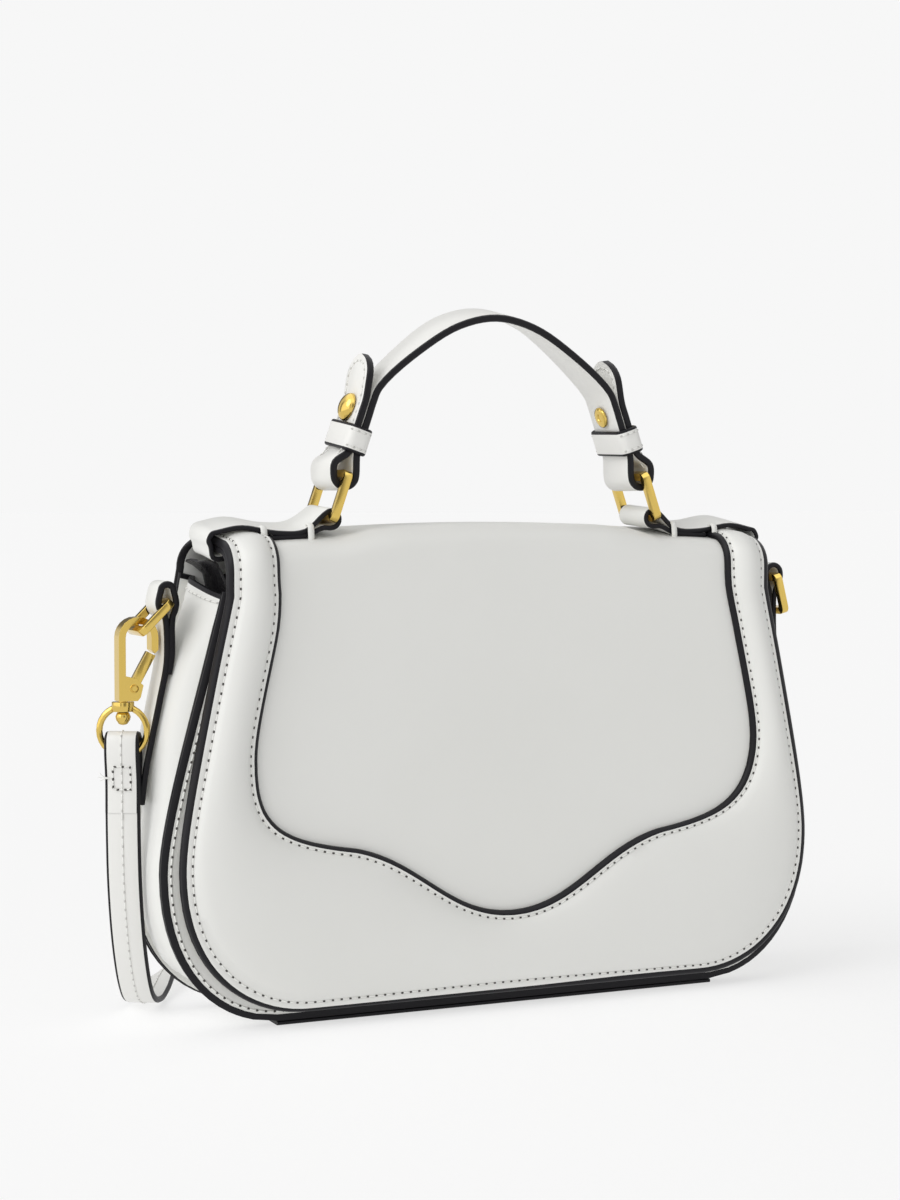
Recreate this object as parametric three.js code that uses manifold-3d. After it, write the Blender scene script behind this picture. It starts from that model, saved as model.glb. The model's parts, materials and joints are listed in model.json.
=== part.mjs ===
// A crossbody bag: a leather body with a hinged flap and a padded overlay, a top handle on
// rectangular rings, two side rings, and a long strap with a swivel snap hook at each end.
// Millimetres. X runs across the bag, -Y is the front and +Z is up. The origin is the middle
// of the base, on the surface that the bag stands on.
import * as THREE from 'three';
import { mergeVertices } from 'three/addons/utils/BufferGeometryUtils.js';
import Module from 'manifold-3d';

const wasm = await Module();
wasm.setup();

// Leather and clearances
const LEATHER = 2.0;          // body and flap panels
const GUSSET_LEATHER = 1.8;
const TAB_LEATHER = 1.6;      // tabs that hold the side rings
const HANDLE_TAB_LEATHER = 1.2;
const LINING = 0.8;
const GAP = 0.3;              // between pieces that lie against each other

// Body
const BODY_DEPTH = 40.2;      // over the outer faces of the front and back panels
const BASE_HALF = 85;         // half length of the flat base
const BASE_THICK = 1.3;
const BODY_HALF = 125.8;      // half width where the panels are widest
const BODY_WIDEST = 53.6;     // height of that place
const BODY_TOP_HALF = 103.6;
const BODY_TOP = 147.6;       // top of the front panel and of the gussets' front edges
const BACK_TOP_HALF = 107.5;  // back panel at the fold line
const GUSSET_RISE = 4.6;      // top edge of the gussets, from front to back
const FLANGE = 5;             // turned-out edge of the gussets, sewn to the panels
const GUSSET_SEAM = 2;        // how far the side gussets reach onto the straight foot
const GUSSET_BULGE_LOW = 5;   // bulge between the panels, at the widest place
const GUSSET_BULGE_HIGH = 10; // and higher up
const BULGE_GROWS_FROM = 66;
const BULGE_GROWS_TO = 108;
const BULGE_TOP_EASE = 30;    // height over which the bulge fades towards the top edge
const BULGE_FOOT_EASE = 45;   // and towards the foot

// Flap
const FLAP_REST_GAP = 3.0;    // flap lining to front panel when closed
const FLAP_BOTTOM = 5.6;
const FLAP_FOOT_HALF = 78;    // half length of its straight lower edge
const FLAP_HALF = 121.2;
const FLAP_WIDEST = 55;
const FLAP_TOP_HALF = 104.4;
const FLAP_SIDE_TOP = 149.6;  // height where its sides become parallel
const FLAP_TOP = 168.4;       // outer face of the leather on top, in the middle
const FLAP_DROOP = 8;         // drop of the top at its ends
const DROOP_FROM = 62;        // half length of the level part
const DROOP_RUN = 40;         // length of the front over which the drop comes in
const FRONT_EDGE_R = 9;       // where the top turns down into the front
const BACK_EDGE_R = 14;       // where the back turns over into the top
const HINGE_GAP = 0.5;        // at the fold line between back panel and flap
const LINING_INSET = 1.5;     // flap lining inside the flap's outline

// Padded overlay on the flap
const OVERLAY_EDGE = 2.2;     // thickness at its sewn edges
const OVERLAY_CROWN = 3.0;    // padding above that
const OVERLAY_OUTER_SEAM = 5.5;
const OVERLAY_INNER_SEAM = 3.5;
const OVERLAY_TOP_WIDTH = 18.2;  // width of its bands where they go over the top
const WINDOW_TOP_HALF = FLAP_TOP_HALF - OVERLAY_TOP_WIDTH; // inner edge: half width at the top
const WINDOW_HALF = 96;       // and where it is widest
const WINDOW_WIDEST = 91.6;   // height of that place
const WINDOW_STRAIGHT = 149.6;  // inner edge is upright above this height
const WAVE_END_X = 58;        // the wave of the lower inner edge begins here
const WAVE_END_Z = 58.6;
const WAVE_LOW_Z = 34.4;      // lowest point of the wave, in the middle
const WINDOW_SHIFT = 1.5;     // its sides lie this far to the right of the middle
const SHIFT_FADES_FROM = 132; // height where that begins to fade
const SHIFT_FADE = 28;

// Magnetic closure
const MAGNET_R = 8;
const MAGNET_HEIGHT = 19.6;   // centre above the floor
const BODY_MAGNET_THICK = 1.1;
const FLAP_MAGNET_THICK = 1.4;

// Handle, its rings and its tabs
const HANDLE_WIDTH = 20;
const HANDLE_LEATHER = 2.6;
const HANDLE_RING_BAR = 2.8;
const HANDLE_RING_SPAN = 15.6;     // bar centre to bar centre
const HANDLE_RING_X = 63;          // lower bar
const HANDLE_RING_LEAN = 19;       // degrees inward
const RING_SIDE_ROOM = 1;          // ring inside width beyond the strap
const BAR_ROOM = 0.32;             // leather loop round a turning bar
const DOUBLED_LENGTH = 19;         // strap and turned-up end lie together
const TAIL_LENGTH = 13.5;          // free end above that
const KEEPER_HEIGHT = 9.5;
const KEEPER_AT = 5.6;             // middle of the keeper along the doubled length
const KEEPER_WALL = 1.4;
const STUD_AT = 15.6;              // stud along the doubled length
const STUD_HEAD_R = 4.6;
const STUD_HEAD_H = 3.2;
const STUD_POST_R = 1.3;
const STUD_BASE_R = 3.8;
const STUD_BASE_H = 1.3;
const ARCH_TOP = 242;              // middle of the strap at the top of the arch
const ARCH_SHOULDER_X = 45;
const ARCH_SHOULDER_Z = 216.8;
const ARCH_MIDDLE_X = 30.3;
const ARCH_MIDDLE_Z = 228.2;
const ARCH_CROWN_X = 15;
const ARCH_CROWN_Z = 238;
const ARCH_ROLL = 1.9;             // back edge up and front edge down

// Side rings and tabs
const STRAP_WIDTH = 13;
const SIDE_RING_BAR = 2.6;
const SIDE_RING_SPAN = 13;
const SIDE_RING_INSET = { left: 7.2, right: 5.2 };  // upper bar, inside the body's widest place
const SIDE_RING_X = { left: BODY_HALF - SIDE_RING_INSET.left, right: BODY_HALF - SIDE_RING_INSET.right };
const SIDE_RING_Z = { left: 143.6, right: 149.2 };
const SIDE_RING_LEAN = { left: 45, right: 14 };     // degrees outward; the hook draws the left one out
const SIDE_TAB_SEWN_LOW = 76;
const SIDE_TAB_SEWN_HIGH = 100;    // above this it stands off the gusset
const SIDE_TAB_TURNED = 24;        // lower end of the turned-in layer, below the ring's bar
const SIDE_TAB_NECK_OUT = 0.35;    // outer layer below the loop, beyond the ring's bar
const SIDE_LOOP_RISE = { left: 4, right: 1.4 };     // empty part of the loop above the ring's bar

// Snap hook, in its own frame: Z along the stem, X across, Y through its thickness
const HOOK_THICK = 5.6;
const HOOK_BAR_LEFT = -2.1;
const HOOK_BAR_RIGHT = 0.3;
const HOOK_ARM = 2.4;              // width of the bar and of the bow
const HOOK_EYE_R = 4.5;
const HOOK_EYE_Z = 24.9;           // centre of the bow
const HOOK_NOSE_Z = 19.4;
const HOOK_FOOT_Z = 3.5;           // underside, on the collar of the swivel ring
const CHEEK_RIGHT = 6.4;
const CHEEK_TOP = 12;
const GATE_PIVOT_X = 3.2;
const GATE_PIVOT_Z = 7.7;
const GATE_LUG_R = 2.6;
const GATE_THICK = 2.8;
const GATE_WIDTH = 3.2;
const GATE_TIP_X = 9.65;
const GATE_TIP_Z = 19.3;
const GATE_SLOT = 3.3;
const GATE_PIN_R = 0.9;
const SPRING_R = 1.6;
const SPRING_WIRE = 0.4;
const SPRING_PITCH = 0.85;
const SPRING_TURNS = 1.5;
const STUD_SHAFT_R = 1.4;
const STUD_BALL_R = 2.6;
const COLLAR_R = 3.8;
const COLLAR_H = 3.2;
const EYE_WIRE_R = 1.15;           // wire of the ring that holds the strap
const EYE_ROOM = 0.5;              // room beside the strap inside that ring
const EYE_RING_R = STRAP_WIDTH / 2 + EYE_ROOM + EYE_WIRE_R;
const EYE_RING_Z = COLLAR_H / 2 - EYE_RING_R;

// Strap
const STRAP_THICK = 2.4;
const FOLD_THICK = 2.0;            // thinned leather where it folds round its ring
const FOLD_ROOM = 0.35;
const FOLD_TAIL = 17;              // turned-back end, below the ring
const FOLD_MAIN = 19.5;            // and its main side, up to the cut where the strap goes on
const STRAP_TURN = -28.7;          // degrees that the left strap end is turned on its swivel

// Coil of the put-away length: half turns of an oval, standing on edge behind the bag
const COIL_X = 15;
const COIL_Y = 62;
const COIL_RUN = 100;              // straight part of each turn
const COIL_R = 32;                 // outer half turn
const COIL_PITCH = 5.2;
const COIL_HALF_TURNS = 5;
const COIL_Z = 7.5;                // middle of the strap's width
const FAR_HOOK_X = -22;            // collar of the hook that lies inside the coil
const FAR_HOOK_Y = 49;
const FAR_HOOK_Z = 3.8;
const TIE_WALL = 0.5;
const TIE_WIDTH = 8;
const TIE_ROOM = 0.4;

// Fall of the strap from its left end to the floor: how far it has gone along its heading, its
// height, and its turn in degrees, where 0 lies flat and 90 stands on edge.
const STRAP_FALL = [
  [0, 79, 0], [0.55, 64, 0], [1.55, 52, 0], [3.95, 40.2, 0], [7.35, 29.6, 0], [11.75, 20, 0],
  [16.95, 12, 0], [23.15, 6.1, 0], [31.15, 2.8, 0], [40.15, 1.7, 0], [51.15, 2.4, 8],
];
// Then round to the coil, each point an x, y, z and turn
const FLOOR_ROUTE = [
  [-102, 56.5, 3.9, 22], [-93.5, 68.5, 6.0, 46], [-83, 79, 7.1, 70], [-70, 87.2, 7.4, 85],
  [-54, 92.6, 7.5, 90], [-35.3, 94, 7.5, 90],
];
// Last stretch, from the innermost run of the coil to the far end
const FAR_ROUTE = [
  [55, 41.0, 7.4, 85], [46, 43.2, 7.1, 69], [37, 46.0, 6.0, 45], [29, 48.0, 4.2, 22], [21, 48.9, 2.9, 6],
];

const FINISH = {
  leather: { color: 0xdedfda, roughness: 0.5, metalness: 0 },
  lining: { color: 0x1c1b1e, roughness: 0.35, metalness: 0 },
  base: { color: 0x2a282c, roughness: 0.5, metalness: 0 },
  suede: { color: 0xb9b6aa, roughness: 0.9, metalness: 0 },
  gold: { color: 0xc9a34a, roughness: 0.25, metalness: 1 },
  steel: { color: 0x8e9094, roughness: 0.4, metalness: 1 },
  tie: { color: 0x2a282c, roughness: 0.8, metalness: 0 },
};

const DEGREE = Math.PI / 180;
const flat = (x, z) => new THREE.Vector2(x, z);
const bag = new THREE.Group();

function addPiece(name, geometry, finish, parent = bag) {
  const mesh = new THREE.Mesh(geometry, new THREE.MeshStandardMaterial(FINISH[finish]));
  mesh.name = name;
  parent.add(mesh);
  return mesh;
}

// Solids

function toSolid(geometry) {
  const bare = new THREE.BufferGeometry();
  bare.setAttribute('position', geometry.getAttribute('position').clone());
  bare.setIndex(geometry.getIndex());
  const merged = mergeVertices(bare, 1e-4);
  return new wasm.Manifold(new wasm.Mesh({
    numProp: 3,
    vertProperties: new Float32Array(merged.getAttribute('position').array),
    triVerts: new Uint32Array(merged.getIndex().array),
  }));
}

function toGeometry(solid) {
  const mesh = solid.getMesh();
  const geometry = new THREE.BufferGeometry();
  geometry.setAttribute('position', new THREE.BufferAttribute(mesh.vertProperties.slice(), 3));
  geometry.setIndex(new THREE.BufferAttribute(mesh.triVerts.slice(), 1));
  return geometry;
}

const cut = (geometry, ...tools) =>
  toGeometry(tools.reduce((solid, tool) => solid.subtract(toSolid(tool)), toSolid(geometry)));
const join = (geometry, ...others) =>
  toGeometry(others.reduce((solid, other) => solid.add(toSolid(other)), toSolid(geometry)));

function signedVolume(points, index) {
  let volume = 0;
  for (let i = 0; i < index.length; i += 3) {
    const [a, b, c] = [points[index[i]], points[index[i + 1]], points[index[i + 2]]];
    volume += a.dot(b.clone().cross(c)) / 6;
  }
  return volume;
}

// Triangles that close one end ring, in the ring's own order
function capTriangles(ring) {
  const normal = new THREE.Vector3();
  ring.forEach((p, i) => {
    const q = ring[(i + 1) % ring.length];
    normal.add(new THREE.Vector3(
      (p.y - q.y) * (p.z + q.z), (p.z - q.z) * (p.x + q.x), (p.x - q.x) * (p.y + q.y)));
  });
  normal.normalize();
  const across = ring[1].clone().sub(ring[0]).normalize();
  const up = normal.clone().cross(across);
  const contour = ring.map((p) => flat(p.dot(across), p.dot(up)));
  return THREE.ShapeUtils.triangulateShape(contour, []).map((face) => {
    const [a, b, c] = face.map((i) => contour[i]);
    const turn = (b.x - a.x) * (c.y - a.y) - (b.y - a.y) * (c.x - a.x);
    return turn > 0 ? face : [face[0], face[2], face[1]];
  });
}

// A closed body through rings of as many points each, capped at both ends
function loft(rings) {
  const count = rings[0].length;
  const points = rings.flat();
  const index = [];
  for (let i = 0; i < rings.length - 1; i += 1) {
    for (let j = 0; j < count; j += 1) {
      const a = i * count + j;
      const b = i * count + ((j + 1) % count);
      index.push(a, b, b + count, a, b + count, a + count);
    }
  }
  const last = (rings.length - 1) * count;
  capTriangles(rings[0]).forEach(([a, b, c]) => index.push(a, c, b));
  capTriangles(rings.at(-1)).forEach(([a, b, c]) => index.push(last + a, last + b, last + c));
  if (signedVolume(points, index) < 0) {
    for (let i = 0; i < index.length; i += 3) {
      [index[i + 1], index[i + 2]] = [index[i + 2], index[i + 1]];
    }
  }
  return new THREE.BufferGeometry().setFromPoints(points).setIndex(index);
}

// An outline in the XZ plane made solid from one Y to another
const slab = (outline, yFrom, yTo) =>
  loft([yFrom, yTo].map((y) => outline.map((p) => new THREE.Vector3(p.x, y, p.y))));

const block = (x0, x1, y0, y1, z0, z1) =>
  slab([flat(x0, z0), flat(x1, z0), flat(x1, z1), flat(x0, z1)], y0, y1);

// A round bar along Y
const barAlongY = (radius, length, x, y, z, sides = 20) =>
  new THREE.CylinderGeometry(radius, radius, length, sides).translate(x, y, z);

function normalsOf(path) {
  return path.map((p, i) => {
    const before = path[Math.max(i - 1, 0)];
    const after = path[Math.min(i + 1, path.length - 1)];
    const along = after.clone().sub(before).normalize();
    return flat(-along.y, along.x);
  });
}

const offsetPath = (path, distance) => {
  const normals = normalsOf(path);
  return path.map((p, i) => p.clone().addScaledVector(normals[i], distance));
};

// A strap of leather that follows a path in the XZ plane
function ribbon(path, thickness, yFrom, yTo) {
  const outline = [...offsetPath(path, thickness / 2), ...offsetPath(path, -thickness / 2).reverse()];
  return slab(outline, yFrom, yTo);
}

// A smooth curve through points, with as many steps between each two of them
function smoothPath(points, steps = 3) {
  const places = points.map((p) => new THREE.Vector3(p.x, p.y, 0));
  const curve = new THREE.CatmullRomCurve3(places, false, 'centripetal');
  return curve.getPoints((points.length - 1) * steps).map((p) => flat(p.x, p.y));
}

const arcPoints = (centre, radius, fromDegrees, toDegrees, steps) =>
  Array.from({ length: steps + 1 }, (_, i) => {
    const angle = (fromDegrees + ((toDegrees - fromDegrees) * i) / steps) * DEGREE;
    return flat(centre.x + radius * Math.cos(angle), centre.y + radius * Math.sin(angle));
  });

const mirrored = (path) => path.map((p) => flat(-p.x, p.y)).reverse();

// Outlines of body and flap: a straight foot, a full lower corner and a side that draws in

const CORNER_FOOT_PULL = 0.43;
const CORNER_SIDE_PULL = 0.28;
const SIDE_LOW_PULL = 0.2;
const SIDE_HIGH_X = 0.32;
const SIDE_HIGH_Z = 0.67;
const OUTLINE_STEPS = 9;

function sideOutline(footHalf, foot, half, widest, topHalf, top) {
  const corner = new THREE.CubicBezierCurve(
    flat(footHalf, foot),
    flat(footHalf + CORNER_FOOT_PULL * (half - footHalf), foot),
    flat(half, foot + CORNER_SIDE_PULL * (widest - foot)),
    flat(half, widest));
  const side = new THREE.CubicBezierCurve(
    flat(half, widest),
    flat(half, widest + SIDE_LOW_PULL * (top - widest)),
    flat(topHalf + SIDE_HIGH_X * (half - topHalf), widest + SIDE_HIGH_Z * (top - widest)),
    flat(topHalf, top));
  return [...corner.getPoints(OUTLINE_STEPS), ...side.getPoints(OUTLINE_STEPS).slice(1)];
}

function halfWidthAt(outline, z) {
  const next = outline.findIndex((p) => p.y >= z);
  if (next < 0) return outline.at(-1).x;
  if (next === 0) return outline[0].x;
  const [low, high] = [outline[next - 1], outline[next]];
  return low.x + ((high.x - low.x) * (z - low.y)) / (high.y - low.y);
}

const PANEL_FOOT = BASE_THICK + GAP;
const bodySide = sideOutline(BASE_HALF, PANEL_FOOT, BODY_HALF, BODY_WIDEST, BODY_TOP_HALF, BODY_TOP);
const flapSide =
  sideOutline(FLAP_FOOT_HALF, FLAP_BOTTOM, FLAP_HALF, FLAP_WIDEST, FLAP_TOP_HALF, FLAP_SIDE_TOP);

const FRONT_FACE = -BODY_DEPTH / 2;
const BACK_FACE = BODY_DEPTH / 2;
const FRONT_INNER = FRONT_FACE + LEATHER;
const BACK_INNER = BACK_FACE - LEATHER;
const HINGE_Z = FLAP_TOP - BACK_EDGE_R;

// Body panels and base

function bodyPanels() {
  const frontOutline = [...bodySide, ...mirrored(bodySide)];
  const recess = barAlongY(MAGNET_R + GAP, LEATHER, 0,
    FRONT_INNER - BODY_MAGNET_THICK - 2 * GAP + LEATHER / 2, MAGNET_HEIGHT);
  addPiece('front_panel', cut(slab(frontOutline, FRONT_FACE, FRONT_INNER), recess), 'leather');
  addPiece('body_magnet', barAlongY(MAGNET_R, BODY_MAGNET_THICK, 0,
    FRONT_INNER - GAP - BODY_MAGNET_THICK / 2, MAGNET_HEIGHT), 'steel');

  const backTop = sideOutline(BASE_HALF, PANEL_FOOT, BODY_HALF, BODY_WIDEST, BACK_TOP_HALF,
    HINGE_Z - HINGE_GAP);
  addPiece('back_panel', slab([...backTop, ...mirrored(backTop)], BACK_INNER, BACK_FACE), 'leather');
  addPiece('base_panel', block(-BASE_HALF, BASE_HALF, FRONT_FACE, BACK_FACE, 0, BASE_THICK), 'base');
}

// Gussets: a web between turned-out flanges, bulging a little between the panels

const ease = (t) => {
  const u = Math.min(Math.max(t, 0), 1);
  return u * u * (3 - 2 * u);
};
const bulgeAt = (z) => {
  const growth = ease((z - BULGE_GROWS_FROM) / (BULGE_GROWS_TO - BULGE_GROWS_FROM));
  const full = GUSSET_BULGE_LOW + (GUSSET_BULGE_HIGH - GUSSET_BULGE_LOW) * growth;
  return full * ease((BODY_TOP - z) / BULGE_TOP_EASE) * ease((z - PANEL_FOOT) / BULGE_FOOT_EASE);
};

// Cross-section as inward distance from the panel's edge and Y
function gussetSection(bulge) {
  const outerY = BACK_INNER - GAP;
  const webY = outerY - GUSSET_LEATHER;
  const shares = [-0.76, -0.4, 0, 0.4, 0.76];
  const crown = (share) => bulge * (1 - share * share);
  const outside = shares.map((share) => [FLANGE - crown(share), share * webY]);
  const inside = shares.map((share) => [FLANGE + GUSSET_LEATHER - crown(share), share * webY]);
  return [
    [GAP, -outerY], [GAP, -webY], [FLANGE, -webY], ...outside, [FLANGE, webY], [GAP, webY],
    [GAP, outerY], [FLANGE + GUSSET_LEATHER, outerY], ...inside.reverse(),
    [FLANGE + GUSSET_LEATHER, -outerY],
  ];
}

// Points above the front edge's top are raised towards the back
function gussetAlong(path) {
  const normals = normalsOf(path);
  return loft(path.map((p, i) => gussetSection(bulgeAt(p.y)).map(([inward, y]) => {
    const atTop = p.y >= BODY_TOP ? 1 : 0;
    const rise = atTop * GUSSET_RISE * (0.5 + y / (2 * (BACK_INNER - GAP)));
    return new THREE.Vector3(p.x + normals[i].x * inward, y, p.y + normals[i].y * inward + rise);
  })));
}

function gussets() {
  const seam = BASE_HALF - GUSSET_SEAM;
  const side = [flat(seam, PANEL_FOOT), ...bodySide];
  const foot = [flat(GAP - seam, PANEL_FOOT), flat(seam - GAP, PANEL_FOOT)];
  addPiece('gusset_right', gussetAlong(side), 'leather');
  addPiece('gusset_left', gussetAlong(mirrored(side)), 'leather');
  addPiece('gusset_bottom', gussetAlong(foot), 'leather');
}

function lining() {
  const room = FLANGE + GUSSET_LEATHER + GAP;
  const inset = (distance, top) => {
    const wall = offsetPath(bodySide, distance);
    const half = [flat(BASE_HALF, PANEL_FOOT + distance), ...wall.slice(1, -1), flat(wall.at(-1).x, top)];
    return [...half, ...mirrored(half)];
  };
  const outside = slab(inset(room, BODY_TOP - GAP), FRONT_INNER + GAP, BACK_INNER - GAP);
  const inside = slab(inset(room + LINING, BODY_TOP + LINING),
    FRONT_INNER + GAP + LINING, BACK_INNER - GAP - LINING);
  addPiece('lining', cut(outside, inside), 'lining');
}

// Flap: everything on it is placed by X, the length up from its lower edge, and a height
// above the outer face of its leather.

const FLAP_FACE = FRONT_FACE - FLAP_REST_GAP - LINING - GAP - LEATHER;
const FRONT_RUN = FLAP_TOP - FRONT_EDGE_R - FLAP_BOTTOM;
const TOP_RUN = BACK_FACE - BACK_EDGE_R - FLAP_FACE - FRONT_EDGE_R;
const TOP_START = FRONT_RUN + (FRONT_EDGE_R * Math.PI) / 2;
const TOP_END = TOP_START + TOP_RUN;
const FLAP_LENGTH = TOP_END + (BACK_EDGE_R * Math.PI) / 2;
const EDGE_STEPS = 5;

// How much of the droop is felt at a length up the flap
function droopShare(length) {
  if (length <= TOP_START) {
    return ease((length - FRONT_RUN + DROOP_RUN) / (TOP_START - FRONT_RUN + DROOP_RUN));
  }
  return 1 - ease((length - TOP_END) / (FLAP_LENGTH - TOP_END));
}

const droopAt = (x) =>
  FLAP_DROOP * (Math.max(Math.abs(x) - DROOP_FROM, 0) / (FLAP_TOP_HALF - DROOP_FROM)) ** 2;

function flapPoint(x, length, height) {
  const low = droopAt(x) * droopShare(length);
  if (length <= FRONT_RUN) {
    return new THREE.Vector3(x, FLAP_FACE - height, FLAP_BOTTOM + length - low);
  }
  if (length <= TOP_START) {
    const angle = (length - FRONT_RUN) / FRONT_EDGE_R;
    const radius = FRONT_EDGE_R + height;
    return new THREE.Vector3(x, FLAP_FACE + FRONT_EDGE_R - radius * Math.cos(angle),
      FLAP_TOP - FRONT_EDGE_R + radius * Math.sin(angle) - low);
  }
  if (length <= TOP_END) {
    return new THREE.Vector3(x, FLAP_FACE + FRONT_EDGE_R + length - TOP_START, FLAP_TOP + height - low);
  }
  const angle = (length - TOP_END) / BACK_EDGE_R;
  const radius = BACK_EDGE_R + height;
  return new THREE.Vector3(x, BACK_FACE - BACK_EDGE_R + radius * Math.sin(angle),
    HINGE_Z + radius * Math.cos(angle) - low);
}

const stepsBetween = (from, to, steps) =>
  Array.from({ length: steps + 1 }, (_, i) => from + ((to - from) * i) / steps);

function flapStations(from, to) {
  const all = [
    ...flapSide.map((p) => p.y - FLAP_BOTTOM),
    ...stepsBetween(FRONT_RUN, TOP_START, EDGE_STEPS),
    ...stepsBetween(TOP_END, FLAP_LENGTH, EDGE_STEPS),
  ];
  return [from, ...all.filter((length) => length > from + GAP && length < to - GAP), to];
}

const flapHalfAt = (length) => halfWidthAt(flapSide, FLAP_BOTTOM + length)
  + (BACK_TOP_HALF - FLAP_TOP_HALF) * ease((length - TOP_END) / (FLAP_LENGTH - TOP_END));

const SHEET_COLUMNS = [-1, -0.92, -0.84, -0.74, -0.6, 0.6, 0.74, 0.84, 0.92, 1];

function flapSheet(inset, from, to, low, high) {
  return loft(flapStations(from, to).map((length) => {
    const half = flapHalfAt(length) - inset;
    const row = (shares, height) => shares.map((share) => flapPoint(share * half, length, height));
    return [...row(SHEET_COLUMNS, low), ...row(SHEET_COLUMNS.toReversed(), high)];
  }));
}

// Where the overlay's inner edge runs, from the bottom middle up to its straight part
const WAVE_LOW_PULL = 0.41;
const WAVE_HIGH_X = 0.59;
const WAVE_HIGH_Z = 0.77;
const CORNER_IN_X = 0.58;
const CORNER_IN_Z = 0.12;
const CORNER_UP_Z = 0.33;
const WINDOW_RISE = 0.24;
const WINDOW_DRAW_X = 0.13;
const WINDOW_DRAW_Z = 0.66;
const WAVE_STEPS = 10;
const WINDOW_STEPS = 6;

function windowEdge() {
  const waveRise = WAVE_END_Z - WAVE_LOW_Z;
  const wave = new THREE.CubicBezierCurve(
    flat(0, WAVE_LOW_Z),
    flat(WAVE_LOW_PULL * WAVE_END_X, WAVE_LOW_Z),
    flat(WAVE_HIGH_X * WAVE_END_X, WAVE_LOW_Z + WAVE_HIGH_Z * waveRise),
    flat(WAVE_END_X, WAVE_END_Z));
  const cornerRise = WINDOW_WIDEST - WAVE_END_Z;
  const corner = new THREE.CubicBezierCurve(
    flat(WAVE_END_X, WAVE_END_Z),
    flat(WAVE_END_X + CORNER_IN_X * (WINDOW_HALF - WAVE_END_X), WAVE_END_Z + CORNER_IN_Z * cornerRise),
    flat(WINDOW_HALF, WAVE_END_Z + CORNER_UP_Z * cornerRise),
    flat(WINDOW_HALF, WINDOW_WIDEST));
  const sideRise = WINDOW_STRAIGHT - WINDOW_WIDEST;
  const side = new THREE.CubicBezierCurve(
    flat(WINDOW_HALF, WINDOW_WIDEST),
    flat(WINDOW_HALF, WINDOW_WIDEST + WINDOW_RISE * sideRise),
    flat(WINDOW_TOP_HALF + WINDOW_DRAW_X * (WINDOW_HALF - WINDOW_TOP_HALF),
      WINDOW_WIDEST + WINDOW_DRAW_Z * sideRise),
    flat(WINDOW_TOP_HALF, WINDOW_STRAIGHT));
  const lower = [...wave.getPoints(WAVE_STEPS), ...corner.getPoints(WAVE_STEPS).slice(1)];
  return { lower, side: side.getPoints(WINDOW_STEPS) };
}

// How far the overlay's inner edge lies to the right, at a height
const windowShift = (z) => WINDOW_SHIFT
  * ease((z - WAVE_END_Z) / (WINDOW_WIDEST - WAVE_END_Z)) * (1 - ease((z - SHIFT_FADES_FROM) / SHIFT_FADE));

// Points at even shares of a path's length
function evenShares(path, steps) {
  const lengths = [0];
  path.slice(1).forEach((p, i) => lengths.push(lengths[i] + p.distanceTo(path[i])));
  return stepsBetween(0, lengths.at(-1), steps).map((length) => {
    const next = Math.max(lengths.findIndex((value) => value >= length - 1e-9), 1);
    const share = (length - lengths[next - 1]) / (lengths[next] - lengths[next - 1]);
    return path[next - 1].clone().lerp(path[next], share);
  });
}

const OVERLAY_LOW = GAP;
const OVERLAY_TOP = OVERLAY_LOW + OVERLAY_EDGE;
const PAD_SHOULDER = 0.28;    // share of the padded width where the padding is nearly full
const PAD_SHOULDER_HEIGHT = 0.82;
const OVERLAY_STEPS = 18;

// One cut across the overlay, from its outer edge to its inner edge, each an X and a flap length
function overlayRing(outer, inner) {
  const width = outer.distanceTo(inner);
  const padded = width - OVERLAY_OUTER_SEAM - OVERLAY_INNER_SEAM;
  const profile = [
    [0, OVERLAY_LOW], [0, OVERLAY_TOP], [OVERLAY_OUTER_SEAM, OVERLAY_TOP],
    [OVERLAY_OUTER_SEAM + padded * PAD_SHOULDER, OVERLAY_TOP + OVERLAY_CROWN * PAD_SHOULDER_HEIGHT],
    [OVERLAY_OUTER_SEAM + padded / 2, OVERLAY_TOP + OVERLAY_CROWN],
    [OVERLAY_OUTER_SEAM + padded * (1 - PAD_SHOULDER), OVERLAY_TOP + OVERLAY_CROWN * PAD_SHOULDER_HEIGHT],
    [width - OVERLAY_INNER_SEAM, OVERLAY_TOP], [width, OVERLAY_TOP], [width, OVERLAY_LOW],
    [width * 0.67, OVERLAY_LOW], [width * 0.33, OVERLAY_LOW],
  ];
  return profile.map(([across, height]) => {
    const place = outer.clone().lerp(inner, across / width);
    return flapPoint(place.x, place.y, height);
  });
}

const HANDLE_Y = FLAP_FACE + FRONT_EDGE_R + TOP_RUN / 2;

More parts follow.
